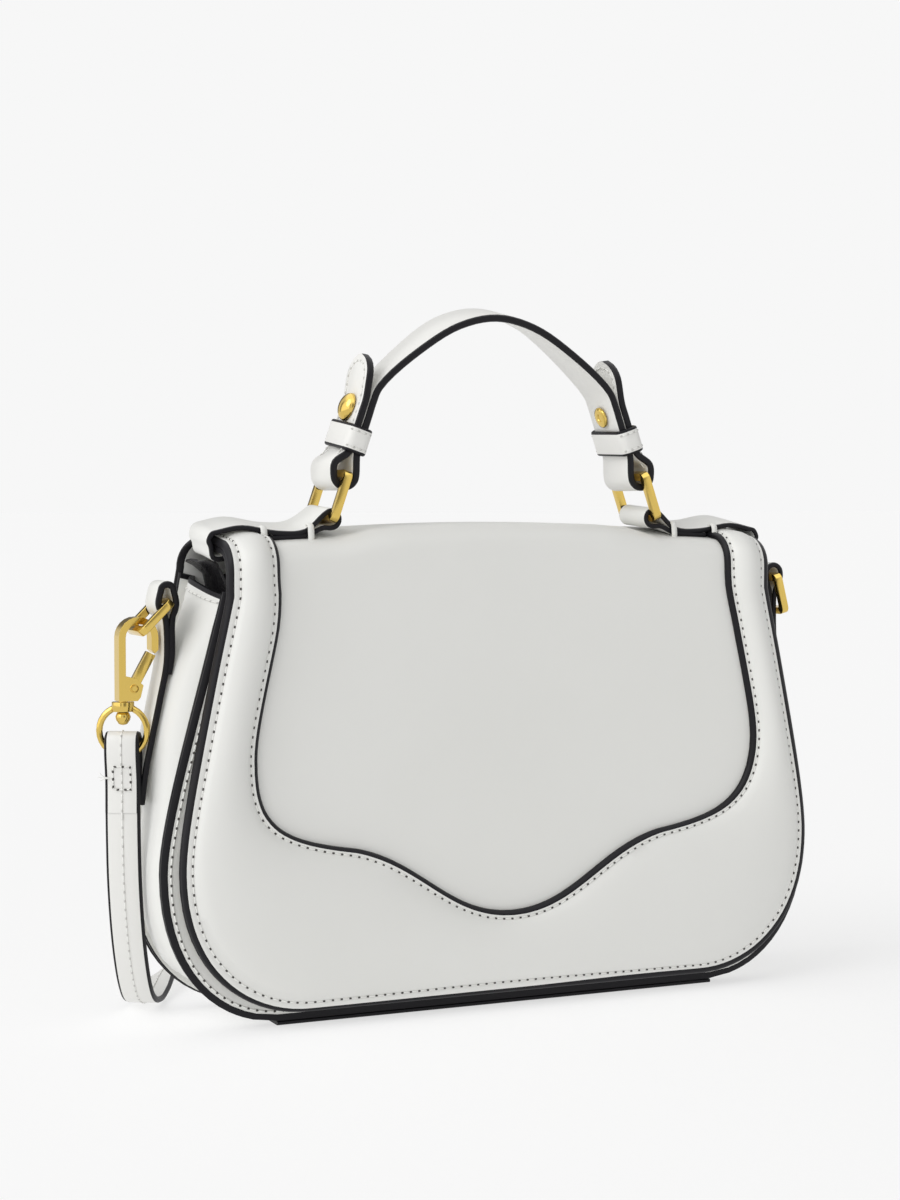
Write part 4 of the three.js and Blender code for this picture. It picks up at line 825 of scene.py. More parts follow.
def dress(tree, shader, tone, colours, wear, roughness):
    """Colour and roughness that each go from a low to a high value with a pattern."""
    tree.links.new(between(tree, tone, *colours), shader.inputs["Base Color"])
    tree.links.new(between(tree, wear, *roughness), shader.inputs["Roughness"])


def leather_finish(name, low, high, gloss):
    """Smooth leather: two near tones, a little uneven gloss and a fine grain."""
    material, tree, shader = new_material(name)
    surface = place_effect(tree, grain, Scale=900.0, Crease=0.25)
    height = surface.outputs["Height"]
    dress(tree, shader, surface.outputs["Tone"], (low, high), height, (gloss + 0.06, gloss - 0.04))
    bump(tree, shader, height, 0.5, 0.06)
    return material


def metal_finish(name, low, high, gloss):
    """Polished metal with faint brushing and handled patches."""
    material, tree, shader = new_material(name, Metallic=1.0)
    surface = place_effect(tree, uneven, Scale=150.0, Contrast=0.9)
    slow = surface.outputs["Slow"]
    dress(tree, shader, slow, (low, high), slow, (gloss - 0.03, gloss + 0.04))
    bump(tree, shader, surface.outputs["Fine"], 0.03, 0.01)
    return material


def paint_finish(name, low, high, gloss):
    """Thick edge paint, brushed on in coats; also the painted shade of needle holes."""
    material, tree, shader = new_material(name, Specular_IOR_Level=0.2)
    slow = place_effect(tree, uneven, Scale=320.0, Contrast=0.9).outputs["Slow"]
    dress(tree, shader, slow, (low, high), slow, (gloss - 0.06, gloss + 0.1))
    bump(tree, shader, slow, 0.4, 0.12)
    return material


def cloth_finish(name, low, high, gloss, threads):
    """Woven or napped cloth: a fine crossing of threads."""
    material, tree, shader = new_material(name)
    place = tree.nodes.new("ShaderNodeTexCoord")
    weave = add_node(tree, "ShaderNodeTexVoronoi", {"Scale": threads}, distance="CHEBYCHEV")
    join(tree, (place, "Object", weave, "Vector"))
    slow = place_effect(tree, uneven, Scale=90.0, Contrast=0.9).outputs["Slow"]
    crossing = weave.outputs["Distance"]
    dress(tree, shader, slow, (low, high), crossing, (gloss - 0.05, gloss + 0.08))
    bump(tree, shader, crossing, 0.4, 0.15)
    return material


white_leather = leather_finish("white_leather", (0.74, 0.74, 0.71), (0.79, 0.79, 0.765), 0.46)
strap_leather = leather_finish("white_strap_leather", (0.75, 0.745, 0.715), (0.8, 0.795, 0.77), 0.42)
base_leather = leather_finish("black_base_leather", (0.018, 0.017, 0.019), (0.03, 0.028, 0.031), 0.5)
edge_paint = paint_finish("black_edge_paint", (0.005, 0.0045, 0.006), (0.011, 0.0105, 0.013), 0.38)
black_lining = cloth_finish(
    "black_satin_lining", (0.006, 0.006, 0.007), (0.014, 0.013, 0.015), 0.26, 2600.0)
flap_suede = cloth_finish("flap_suede", (0.46, 0.45, 0.41), (0.56, 0.55, 0.51), 0.88, 1500.0)
gold = metal_finish("polished_gold", (0.68, 0.47, 0.11), (0.72, 0.52, 0.14), 0.14)
steel = metal_finish("dull_steel", (0.42, 0.43, 0.45), (0.52, 0.53, 0.55), 0.36)
white_thread = cloth_finish("white_thread", (0.74, 0.74, 0.71), (0.84, 0.84, 0.81), 0.6, 5200.0)
# Needle holes are small ellipsoids coloured as painted shade: dark for open holes, pale where the thread is drawn
# tight and only a little shade shows.
hole_painted_shade = paint_finish("hole_painted_shade", (0.05, 0.045, 0.042), (0.09, 0.085, 0.08), 0.8)
pale_hole_painted_shade = paint_finish("pale_stitch_painted_shade", (0.5, 0.495, 0.47), (0.6, 0.595, 0.57), 0.8)
tie_cloth = cloth_finish("black_tie_cloth", (0.015, 0.015, 0.016), (0.03, 0.029, 0.031), 0.78, 1300.0)

PAINTED_LEATHER = (white_leather, edge_paint)
PAINTED_STRAP = (strap_leather, edge_paint)

# Strap: one long flat cord, from its left end down to the floor, round behind the bag and coiled


def strap_turn_side(place):
    """Turns a place in the strap end's own frame to the bag's."""
    return Matrix.Rotation(STRAP_TURN, 3, "Z") @ place


def strap_stops():
    """Places and turns of the whole strap."""
    stops = []
    for along, z, turn in STRAP_FALL:
        side = strap_turn_side(Vector((0, along - FOLD_STEP, 0)))
        stops.append((Vector((STEM_X + side.x, side.y, z)), turn))
    stops += [(Vector(stop[:3]), stop[3]) for stop in FLOOR_ROUTE]
    y = COIL_Y + COIL_R
    for i in range(COIL_HALF_TURNS):
        heading = 1 if i % 2 == 0 else -1
        radius = COIL_R - i * COIL_PITCH / 2
        centre_y = y - heading * radius
        for step in range(5):
            x = COIL_X + heading * COIL_RUN * (step / 5 - 0.5)
            stops.append((Vector((x, y, COIL_Z)), 90))
        for step in range(14):
            angle = math.pi * step / 14
            x = COIL_X + heading * (COIL_RUN / 2 + radius * math.sin(angle))
            stops.append((Vector((x, centre_y + heading * radius * math.cos(angle), COIL_Z)), 90))
        y -= heading * 2 * radius
    stops.append((Vector((COIL_X + COIL_RUN / 2, y, COIL_Z)), 90))
    stops += [(Vector(stop[:3]), stop[3]) for stop in FAR_ROUTE]
    return stops


def strap_route():
    """A fine path of the strap below its folded end, and its turn at each point."""
    stops = strap_stops()
    path = smooth([place for place, _ in stops], STRAP_STEPS)
    turns = []
    for (_, start), (_, end) in zip(stops, stops[1:]):
        turns += [start + (end - start) * i / STRAP_STEPS for i in range(STRAP_STEPS)]
    turns.append(stops[-1][1])
    first = next(i for i, place in enumerate(path) if place.z < STRAP_TOP)
    share = (path[first - 1].z - STRAP_TOP) / (path[first - 1].z - path[first].z)
    start = path[first - 1].lerp(path[first], share)
    return [start, *path[first:]], [turns[first], *turns[first:]]


def strap_wides(path, turns):
    wides = []
    for along, turn in zip(headings(path), turns):
        level = Vector((along.y, -along.x, 0)).normalized()
        angle = math.radians(turn)
        wide = level * math.cos(angle) + Vector((0, 0, math.sin(angle)))
        wides.append((wide - along * wide.dot(along)).normalized() * (STRAP_WIDTH / 2))
    return wides


strap_path, strap_turns = strap_route()
strap_reach = strap_wides(strap_path, strap_turns)
strap = settle(band("strap", strap_path, strap_reach, STRAP_THICK, 1.0), PAINTED_STRAP, "leather")
strap_length = lengths_along(strap_path)[-1] * MM

# Body: front panel, gusset strip, base and lining

body_side = side_outline(*BODY_SIDE)
back_side = side_outline(*BACK_SIDE)
flap_side = side_outline(*FLAP_SIDE)


def on_front(z):
    return lambda x, height: Vector((x, FRONT_FACE - height, z))


def front_rows():
    """Rows up the front panel, whose paint comes round its edge evenly."""
    bare = inset(body_side, PAINT_WIDTH)
    paint_top = PANEL_FOOT + PAINT_WIDTH
    heights = [PANEL_FOOT, PANEL_FOOT + PAINT_WIDTH / 2, paint_top, paint_top + 1]
    heights += [p.z for p in body_side if p.z > paint_top + 2]
    return [(half_at(body_side, z), half_at(bare, z), on_front(z)) for z in heights]


front_panel = sheet("front_panel_leather", front_rows(), LEATHER, (2, 0))
settle(front_panel, PAINTED_LEATHER, "leather", "body", ["front_panel"])


def bulge_at(z):
    """How far the gusset swells between the panels."""
    full = GUSSET_BULGE * (1 + ease((z - 66) / 42))
    near_top = 0.45 + 0.55 * ease((BODY_TOP - z) / 30)
    return full * near_top * ease((z - PANEL_FOOT) / 20)


WEB_SHARES = [-0.9, -0.76, -0.58, -0.4, -0.2, 0, 0.2, 0.4, 0.58, 0.76, 0.9]
GUSSET_Y = -FRONT_FACE - LEATHER - GAP


def gusset_section(bulge):
    """A cut through the gusset: inward distance from the panel's edge, and Y."""
    web_y = GUSSET_Y - GUSSET_LEATHER
    tip = 0.4
    outside = [(FLANGE - bulge * (1 - s ** 4), s * web_y) for s in WEB_SHARES]
    inside = [(depth + GUSSET_LEATHER, y) for depth, y in reversed(outside)]
    left = [(GAP + tip, -GUSSET_Y), (GAP, -GUSSET_Y + tip), (GAP, -web_y - tip), (GAP + tip, -web_y)]
    right = [(GAP + tip, web_y), (GAP, web_y + tip), (GAP, GUSSET_Y - tip), (GAP + tip, GUSSET_Y)]
    foot = FLANGE + GUSSET_LEATHER
    return [*left, (FLANGE, -web_y), *outside, (FLANGE, web_y), *right, (foot, GUSSET_Y), *inside,
            (foot, -GUSSET_Y)]


def to_back(y):
    """Share of the way from the front panel to the back."""
    return 0.5 + y / (2 * GUSSET_Y)


def top_rise(y, z):
    """The gusset's top edge is low at the front and high at the back."""
    return ease((z - BODY_TOP + TOP_EDGE_RUN) / TOP_EDGE_RUN) * (GUSSET_RISE * to_back(y) - GUSSET_DIP)


def back_spread(y, z):
    """How much wider the gusset stands than the front panel, as it nears the back."""
    return (half_at(back_side, z + top_rise(y, z)) - half_at(body_side, z)) * to_back(y)


def gusset_strip():
    near_top = BODY_TOP - 1.5
    side = [*body_side[:-1], Vector((half_at(body_side, near_top), 0, near_top)), body_side[-1]]
    path = mirrored(side) + side
    rings = []
    for place, along in zip(path, headings(path)):
        ring = []
        for depth, y in gusset_section(bulge_at(place.z)):
            point = place + inward(along) * depth
            wider = math.copysign(back_spread(y, place.z), place.x)
            ring.append(Vector((point.x + wider, y, point.z + top_rise(y, place.z))))
        rings.append(ring)
    right = 4 + 1 + len(WEB_SHARES) + 1
    return sweep("gusset_strip", rings, (0, 1, 2, right, right + 1, right + 2), painted_rows=(1, 1))


settle(gusset_strip(), PAINTED_LEATHER, "leather", "body",
       ["gusset_left", "gusset_right", "gusset_bottom"])

base_stops = (-BASE_HALF, 1 - BASE_HALF, -40, 0, 40, BASE_HALF - 1, BASE_HALF)
base_path = [Vector((x, 0, BASE_THICK / 2)) for x in base_stops]
strip("base_leather", base_path, Vector((0, BACK_FACE, 0)), BASE_THICK, 0.5, (base_leather, edge_paint),
      "body", "base_panel", slot="base")


def lining_ring(half, z, top):
    """One level of the lining, a rounded oblong whose walls ripple towards the top."""
    deep = GUSSET_Y - 0.4
    ripple = LINING_RIPPLE * ease((z - 90) / 50)
    ring = []
    corners = ((half, deep), (-half, deep), (-half, -deep), (half, -deep))
    for i, (x, y) in enumerate(corners):
        across = Vector(corners[(i + 1) % 4]) - Vector((x, y))
        steps = 16 if i % 2 == 0 else 10
        for step in range(steps):
            share = 0.04 + 0.92 * step / (steps - 1)
            point = Vector((x, y)) + across * share
            side = Vector((-across.y, across.x)).normalized()
            depth = ripple * (0.5 + 0.5 * math.sin(point.x * 0.21 + point.y * 0.75 + z * 0.06))
            point += side * depth
            fold = 0.5 + 0.35 * math.sin(point.x * 0.3 + point.y * 0.5)
            rim = fold + LINING_RIM * ease((abs(point.x) - 84) / 10) * ease((point.y + 16) / 12)
            lift = top_rise(point.y, z) * (1 - top) + rim * top
            spread = RIM_SPREAD * to_back(point.y) * top ** 3 * point.x / half
            ring.append(Vector((point.x + spread, point.y, z + lift)))
    return ring


def inner_bag():
    room = FLANGE + GUSSET_LEATHER + GAP
    lowest = PANEL_FOOT + room + 0.5
    levels = [(p.x, p.z, 0) for p in inset(body_side, room) if lowest < p.z < BODY_TOP - 6]
    for below_top, rise in ((4, 0.15), (2, 0.5), (0.8, 0.85), (0.2, 1)):
        z = BODY_TOP - below_top
        levels.append((half_at(body_side, z) - room + 2.7 * rise, z, rise))
    piece = sweep("inner_bag", [lining_ring(*level) for level in levels], open_end=True)
    apply_modifier(piece, "SOLIDIFY", thickness=LINING * MM, offset=-1)
    for face in piece.data.polygons:
        face.material_index = 0
    return piece


settle(inner_bag(), [black_lining], "lining", "body", ["lining"], 60)

# Flap: one sheet of leather from the foot of the back, over the top and down the front


def droop(x, length):
    """How much lower the flap lies than level: at its ends and, near them, towards its front."""
    ends = FLAP_DROOP * (max(abs(x) - DROOP_FROM, 0) / (FLAP_TOP_HALF - DROOP_FROM)) ** 2
    level = ends - FLAP_CROWN * max(1 - (x / DROOP_FROM) ** 2, 0)
    sloped = TOP_SLOPE * ease((abs(x) - 44) / 22)
    if length <= TOP_START:
        run = TOP_START - FRONT_RUN + DROOP_RUN
        return (level + sloped) * ease((length - FRONT_RUN + DROOP_RUN) / run)
    if length <= TOP_END:
        return level + sloped * (TOP_END - length) / TOP_RUN
    return level * (1 - ease((length - TOP_END) / (FLAP_LENGTH - TOP_END)))


def on_flap(x, length, height):
    """A place on the flap, by its X, the length up from the lower edge and the height above it."""
    low = droop(x, length)
    if length <= FRONT_RUN:
        return Vector((x, FLAP_FACE - height, FLAP_BOTTOM + length - low))
    if length <= TOP_START:
        angle = (length - FRONT_RUN) / FRONT_EDGE_R
        radius = FRONT_EDGE_R + height
        y = FLAP_FACE + FRONT_EDGE_R - radius * math.cos(angle)
        return Vector((x, y, FLAP_TOP - FRONT_EDGE_R + radius * math.sin(angle) - low))
    if length <= TOP_END:
        return Vector((x, FLAP_FACE + FRONT_EDGE_R + length - TOP_START, FLAP_TOP + height - low))
    angle = (length - TOP_END) / BACK_EDGE_R
    radius = BACK_EDGE_R + height
    y = BACK_FACE - BACK_EDGE_R + radius * math.sin(angle)
    return Vector((x, y, HINGE_Z + radius * math.cos(angle) - low))


def flap_half(length):
    widens = ease((length - TOP_END) / (FLAP_LENGTH - TOP_END))
    return half_at(flap_side, FLAP_BOTTOM + length) + (BACK_TOP_HALF - FLAP_TOP_HALF) * widens


FRONT_BEND = [FRONT_RUN + (TOP_START - FRONT_RUN) * i / 8 for i in range(9)]


def flap_lengths(start, end):
    """Lengths at which the flap is cut across, closer together round its two edges."""
    lengths = [p.z - FLAP_BOTTOM for p in flap_side] + FRONT_BEND
    lengths += [TOP_START + TOP_RUN * i / 4 for i in range(1, 4)]
    lengths += [TOP_END + (FLAP_LENGTH - TOP_END) * i / 10 for i in range(10)]
    return [start, *[one for one in lengths if start + GAP < one < end - GAP], end]


def dent(x, length):
    """Soft hollows of the flap's leather between the handle tabs."""
    across = ease((58 - abs(x)) / 26)
    near_top = math.exp(-((length - FRONT_RUN - 2) / 16) ** 2)
    ripple = 0.55 + 0.25 * math.sin(x * 0.09 + 0.8) + 0.2 * math.sin(x * 0.21 + length * 0.05)
    return -DENT_DEPTH * across * near_top * ripple


def at_length(length):
    return lambda x, height: on_flap(x, length, height + dent(x, length))


def on_back(z):
    """A place on the back panel, which sags outward a little."""
    swell = BACK_SAG * ease((z - PANEL_FOOT) / 50) * ease((HINGE_Z - z) / 60)
    return lambda x, height: Vector((x, BACK_FACE + height + swell * ease((118 - abs(x)) / 70), z))


def edged_row(half, place, paint=FLAP_PAINT):
    return half, half - paint, place


flap_rows = []
for length in flap_lengths(0, FLAP_LENGTH):
    paint = FLAP_PAINT + (BACK_PAINT - FLAP_PAINT) * ease((length - TOP_START) / TOP_RUN)
    flap_rows.append(edged_row(flap_half(length), at_length(length), paint))
for place in reversed(back_side):
    if place.z < HINGE_Z - 0.5:
        flap_rows.append(edged_row(place.x, on_back(place.z), BACK_PAINT))
flap_and_back = settle(sheet("flap_and_back_leather", flap_rows, LEATHER), PAINTED_LEATHER, "leather")


def under_flap(length):
    return lambda x, height: on_flap(x, length, height - LEATHER - GAP + dent(x, length))


lining_rows = [edged_row(flap_half(length) - 1.5, under_flap(length))
               for length in flap_lengths(1.5, TOP_END)]
settle(sheet("flap_suede_lining", lining_rows, LINING), (flap_suede, flap_suede), "suede", "flap",
       ["flap_lining"])

# Padded overlay on the flap


def window_edge():
    """Inner edge of the overlay, from the bottom middle to where it is upright."""
    end_x, end_z = WAVE_END
    rise = end_z - WAVE_LOW
    wave = bezier((0, WAVE_LOW), (0.41 * end_x, WAVE_LOW),
                  (0.59 * end_x, WAVE_LOW + 0.77 * rise), WAVE_END, 16)
    reach = WINDOW_HALF - end_x
    lift = WINDOW_WIDEST - end_z
    corner = bezier(WAVE_END, (end_x + 0.66 * reach, end_z + 0.12 * lift),
                    (WINDOW_HALF, end_z + 0.25 * lift), (WINDOW_HALF, WINDOW_WIDEST), 16)
    draw = WINDOW_HALF - WINDOW_TOP_HALF
    climb = WINDOW_STRAIGHT - WINDOW_WIDEST
    side = bezier((WINDOW_HALF, WINDOW_WIDEST), (WINDOW_HALF, WINDOW_WIDEST + 0.24 * climb),
                  (WINDOW_TOP_HALF + 0.13 * draw, WINDOW_WIDEST + 0.66 * climb),
                  (WINDOW_TOP_HALF, WINDOW_STRAIGHT), 14)
    return wave + corner[1:], side


def window_shift(z):
    """How far the overlay's inner edge lies to the right, at a height."""
    grown = ease((z - WAVE_END[1]) / (WINDOW_WIDEST - WAVE_END[1]))
    return WINDOW_SHIFT * grown * (1 - ease((z - SHIFT_FADES_FROM) / SHIFT_FADE))


def overlay_stations():
    """Outer and inner ends of the cuts across the overlay, each an X and a flap length."""
    lower, side = window_edge()
    to_length = Vector((0, 0, -FLAP_BOTTOM))
    outline = [p for p in flap_side if p.z < WINDOW_WIDEST]
    outline = [Vector((0, 0, FLAP_BOTTOM)), *outline]
    outline.append(Vector((half_at(flap_side, WINDOW_WIDEST), 0, WINDOW_WIDEST)))
    outer = [p + to_length for p in evenly(outline, 54)]
    inner = [p + to_length for p in evenly(lower, 54)]
    half = list(zip(outer, inner))
    for p in side[1:]:
        length = p.z - FLAP_BOTTOM
        half.append((Vector((flap_half(length), 0, length)), Vector((p.x, 0, length))))
    end = TOP_START + TOP_RUN / 2 + HANDLE_WIDTH / 2
    for length in (146, 149.5, *FRONT_BEND, TOP_START + 8, end):
        half.append((Vector((flap_half(length), 0, length)), Vector((WINDOW_TOP_HALF, 0, length))))
    left_half = [[to_side(p, -1) for p in pair] for pair in reversed(half[1:])]
    shifted = []
    for outer, inner in [*left_half, *half]:
        shifted.append((outer, inner + Vector((window_shift(inner.z + FLAP_BOTTOM), 0, 0))))
    return shifted


def crown_at(length):
    """How far the padding swells; the handle tabs press it flatter on top."""
    return OVERLAY_CROWN * (1 - 0.6 * ease((length - FRONT_RUN) / (TOP_START - FRONT_RUN)))


def overlay_profile(width, crown, outer_paint):
    """A cut across the overlay: distance from its outer edge, and height above the flap."""
    padded = width - OUTER_SEAM - INNER_SEAM
    pad = []
    for i in range(1, PAD_STEPS):
        share = i / PAD_STEPS
        swell = crown * math.sin(math.pi * share) ** 0.62
        pad.append((OUTER_SEAM + padded * share, OVERLAY_TOP + swell))
    groove = OVERLAY_TOP - GROOVE
    rim = ((0, OVERLAY_TOP - 1.4), (0.25, OVERLAY_TOP - 0.8), (0.8, OVERLAY_TOP - 0.25), (1.6, OVERLAY_TOP))
    outer_edge = [(0, OVERLAY_LOW), *[(across * outer_paint, height) for across, height in rim]]
    inner_edge = [*[(width - across, height) for across, height in reversed(rim)], (width, OVERLAY_LOW)]
    return [*outer_edge, (OUTER_SEAM - 1, OVERLAY_TOP), (OUTER_SEAM, groove), *pad,
            (width - INNER_SEAM, groove), (width - INNER_SEAM + 0.7, OVERLAY_TOP), *inner_edge,
            (width * 0.67, OVERLAY_LOW), (width * 0.33, OVERLAY_LOW)]


overlay_cuts = overlay_stations()


def overlay_place(outer, inner, across, height):
    place = outer.lerp(inner, across / (inner - outer).length)
    return on_flap(place.x, place.z, height)


def padded_overlay():
    rings = []
    for outer, inner in overlay_cuts:
        outer_paint = 1 + 0.6 * ease(outer.x / 60)
        profile = overlay_profile((inner - outer).length, crown_at(inner.z), outer_paint)
        rings.append([overlay_place(outer, inner, across, height) for across, height in profile])
    inner_edge = 5 + 2 + PAD_STEPS - 1 + 2
    painted = (0, 1, 2, 3, *range(inner_edge, inner_edge + 4))
    return sweep("padded_overlay", rings, painted)


overlay = settle(padded_overlay(), PAINTED_LEATHER, "leather", "flap", ["flap_overlay"], 50)
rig.padded(overlay, fill=0.6)

# Handle with its keepers and tabs

handle_along = Vector((-math.sin(DOUBLED_LEAN), 0, math.cos(DOUBLED_LEAN)))
handle_out = Vector((math.cos(DOUBLED_LEAN), 0, math.sin(DOUBLED_LEAN)))


def beside_handle(along, out):
    return DOUBLED_START + handle_along * along + handle_out * out


def handle_path():
    """From one turned-up end round its ring, over the arch and down to the other end."""
    tail_foot = beside_handle(DOUBLED_LENGTH, LAYER_STEP)
    tail_along = Vector((-math.sin(TAIL_LEAN), 0, math.cos(TAIL_LEAN)))
    half = [tail_foot + tail_along * TAIL_LENGTH, tail_foot + tail_along * TAIL_LENGTH / 2]
    half += [beside_handle(DOUBLED_LENGTH * share, LAYER_STEP) for share in (1, 0.75, 0.5, 0.25, 0)]
    half.append(HANDLE_BAR + Vector((HANDLE_LOOP * 0.9, 0, HANDLE_LOOP)))
    half += arc(HANDLE_BAR, HANDLE_LOOP, 0, -180, 6)
    half += [beside_handle(DOUBLED_LENGTH * share, 0) for share in (0, 0.25, 0.5, 0.75, 1)]
    half += ARCH
    return smooth([*half, Vector((0, 0, ARCH_TOP)), *mirrored(half)], 5)


def handle_wides(path):
    """Half width at each point: rounded at the tips, and rolled over the arch."""
    lengths = lengths_along(path)
    wides = []
    for place, length in zip(path, lengths):
        from_tip = min(length, lengths[-1] - length)
        short = max(1 - from_tip / TAIL_ROUND, 0)
        share = max(math.sqrt(1 - short * short), 0.22)
        roll = ARCH_ROLL * ease((place.z - ARCH[0].z) / (ARCH_TOP - ARCH[0].z))
        wides.append(Vector((0, HANDLE_WIDTH / 2, roll)) * share)
    return wides


handle_line = handle_path()
at_handle = Vector((0, HANDLE_Y, 0))
strip("handle_leather", [p + at_handle for p in handle_line], handle_wides(handle_line), HANDLE_LEATHER,
      0.7, PAINTED_STRAP, "handle", "handle_strap")


def keeper_path(side):
    """Round the doubled strap, at the middle of the keeper's wall."""
    middle = beside_handle(KEEPER_AT, LAYER_STEP / 2)
    deep = (LAYER_STEP + HANDLE_LEATHER + 2 * GAP + KEEPER_WALL) / 2
    wide = (HANDLE_WIDTH + 2 * GAP + KEEPER_WALL) / 2
    path = []
    for out, y in rounded(deep, wide, KEEPER_CORNER, 5):
        place = middle + handle_out * out + handle_along * (KEEPER_TILT[side] * y)
        path.append(Vector((side * place.x, HANDLE_Y + y, place.z)))
    return path


def flap_level(x):
    """Height of the flap's top under the middle of a handle tab."""
    return FLAP_TOP - droop(x, TOP_START + TOP_RUN / 2)


def tab_layer(x, number):
    """A place in the lower or the upper layer of a handle tab, where it lies on the flap."""
    return x, flap_level(x) + GAP + TAB_LEATHER / 2 + number * (TAB_LEATHER + GAP)


def handle_tab_path(side):
    """Folded round the ring, along the top, over the overlay and under the flap's end."""
    half = TAB_LEATHER / 2
    pad_middle = (FLAP_TOP_HALF + WINDOW_TOP_HALF) / 2
    over_pad = flap_level(pad_middle) + OVERLAY_TOP + crown_at(TOP_START) + 3 * GAP + half
    flap_end = flap_level(FLAP_TOP_HALF)
    under_end = flap_end - LEATHER - LINING - 2 * GAP - half
    ring_x = HANDLE_RING.x
    corners = [tab_layer(WINDOW_TOP_HALF - TAB_LEATHER, 0), tab_layer(ring_x + TAB_OPENS, 0)]
    corners.append((ring_x + TAB_LOOP, HANDLE_RING.z - TAB_LOOP))
    corners += [(p.x, p.z) for p in arc(HANDLE_RING, TAB_LOOP, -90, -315, 7)]
    corners += [
        tab_layer(ring_x + TAB_OPENS, 1), tab_layer(WINDOW_TOP_HALF - 3 * TAB_LEATHER, 1),
        (pad_middle, over_pad), (FLAP_TOP_HALF - 3 * half, over_pad - 2 * half),
        (FLAP_TOP_HALF + TAB_CURL * 0.6, flap_end + 4), (FLAP_TOP_HALF + TAB_CURL, flap_end + 1.6),
        (FLAP_TOP_HALF + TAB_CURL * 0.75, flap_end - half), (FLAP_TOP_HALF + half, under_end),
        (FLAP_TOP_HALF - TAB_CURL, under_end), (FLAP_TOP_HALF - 2 * TAB_CURL, under_end + half)]
    return smooth([Vector((side * x, HANDLE_Y, z)) for x, z in corners], 5)


def tab_tilt(x):
    """How much lower a handle tab's front edge is than its middle; its loop is nearly level."""
    tilt = TOP_SLOPE / TOP_RUN * HANDLE_WIDTH / 2
    return tilt * (0.4 + 0.6 * ease((abs(x) - HANDLE_RING.x - TAB_LOOP) / 7))


for name, side in SIDES:
    along = to_side(handle_along, side) * (KEEPER_HEIGHT / 2)
    strip("handle_keeper_leather_" + name, keeper_path(side), along, KEEPER_WALL, 1.0, PAINTED_STRAP,
          "handle", "handle_keeper_" + name, loop=True)
    path = handle_tab_path(side)
    wides = [Vector((0, HANDLE_WIDTH / 2, tab_tilt(p.x))) for p in path]
    strip("handle_tab_leather_" + name, path, wides, TAB_LEATHER + 2 * GAP, 0.7, PAINTED_LEATHER,
          "flap", "handle_tab_" + name)

# Side tabs

gusset_line = []
for p, along in zip(body_side, headings(body_side)):
    middle = p + inward(along) * (FLANGE - bulge_at(p.z))
    gusset_line.append(middle + Vector((back_spread(0, p.z), 0, 0)))


def side_tab_path(name, side):
    """Sewn to the gusset, up and round the ring's bar, and turned in."""
    ring_x, ring_z, rise, top_radius = SIDE_RING[name]
    step = SIDE_TAB_LEATHER + GAP
    neck = ring_x + 0.35
    turned_in = ring_z - SIDE_TAB_TURNED

    def low(z):
        return ease((SIDE_TAB_SEWN_HIGH + 8 - z) / (SIDE_TAB_SEWN_HIGH + 8 - SIDE_TAB_SEWN_LOW))

    def sewn(z):
        return half_at(gusset_line, z) + 2 * GAP + SIDE_TAB_LEATHER / 2 + SIDE_TAB_LIFT[name] * low(z), z

    def drawn(start, end):
        shares = ((0, 2.4), (0.2, 1.45), (0.76, 0.75))
        return [(start + share * (end - start), ring_z - drop * SIDE_LOOP) for share, drop in shares]

    top_x, top_z = sewn(SIDE_TAB_SEWN_HIGH)
    sewn_middle = sewn((SIDE_TAB_SEWN_LOW + SIDE_TAB_SEWN_HIGH) / 2)
    corners = [sewn(SIDE_TAB_SEWN_LOW), sewn_middle, (top_x, top_z)]
    corners.append(((top_x + neck) / 2, (top_z + turned_in) / 2 + step))
    corners.append((neck, turned_in + 2 * step))
    corners += drawn(neck, ring_x + SIDE_LOOP)
    corners.append((ring_x + SIDE_LOOP, ring_z))
    top = Vector((ring_x, 0, ring_z + rise))
    corners += [(p.x, p.z) for p in arc(top, top_radius, 0, 180, 6)]
    corners.append((ring_x - SIDE_LOOP, ring_z))
    corners += reversed(drawn(neck - step, ring_x - SIDE_LOOP))
    corners += [(neck - step, turned_in + 4 * step), (neck - 0.8 * step, turned_in + 2 * step)]
    corners.append((neck - 0.35 * step, turned_in))
    return smooth([Vector((side * x, SIDE_TAB_LEAN[name] * low(z), z)) for x, z in corners], 5)


across_tab = Vector((0, SIDE_TAB_WIDTH / 2, 0))
for name, side in SIDES:
    strip("side_tab_leather_" + name, side_tab_path(name, side), across_tab, SIDE_TAB_THICK[name], 0.9,
          PAINTED_LEATHER, "body", "side_tab_" + name)

# Folded ends of the strap


def fold_path(main_side):
    """The fold in its own frame: Y through the strap and Z along it."""
    turn = (180, 0) if main_side > 0 else (0, 180)
    corners = [(-main_side * FOLD_STEP, WIRE_Z - FOLD_TAIL),
               (-main_side * FOLD_STEP, WIRE_Z - FOLD_OPENS), (-main_side * FOLD_R, WIRE_Z)]
    corners += [(p.x, p.z) for p in arc(Vector((0, 0, WIRE_Z + WIRE_RISE)), FOLD_R, *turn, 6)]
    corners += [(main_side * FOLD_R, WIRE_Z), (main_side * FOLD_STEP, WIRE_Z - FOLD_OPENS),
                (main_side * FOLD_STEP, WIRE_Z - FOLD_MAIN)]
    return smooth([Vector((0, y, z)) for y, z in corners], 5)


left_place = Vector((STEM_X, 0, HOOK_Z))
left_fold = [left_place + strap_turn_side(p) for p in fold_path(-1)]
left_wide = strap_turn_side(Vector((STRAP_WIDTH / 2, 0, 0)))
strip("strap_end_leather_left", left_fold, left_wide, FOLD_THICK, 1.1, PAINTED_STRAP, "strap_left",
      "strap_end_left")

far_fold = [FAR_HOOK + Vector((-p.z, 0, -p.y)) for p in fold_path(1)]
across_strap = Vector((0, STRAP_WIDTH / 2, 0))
far_end = strip("strap_end_leather_far", far_fold, across_strap, FOLD_THICK, 1.1, PAINTED_STRAP, "body",
                "strap_end_far")


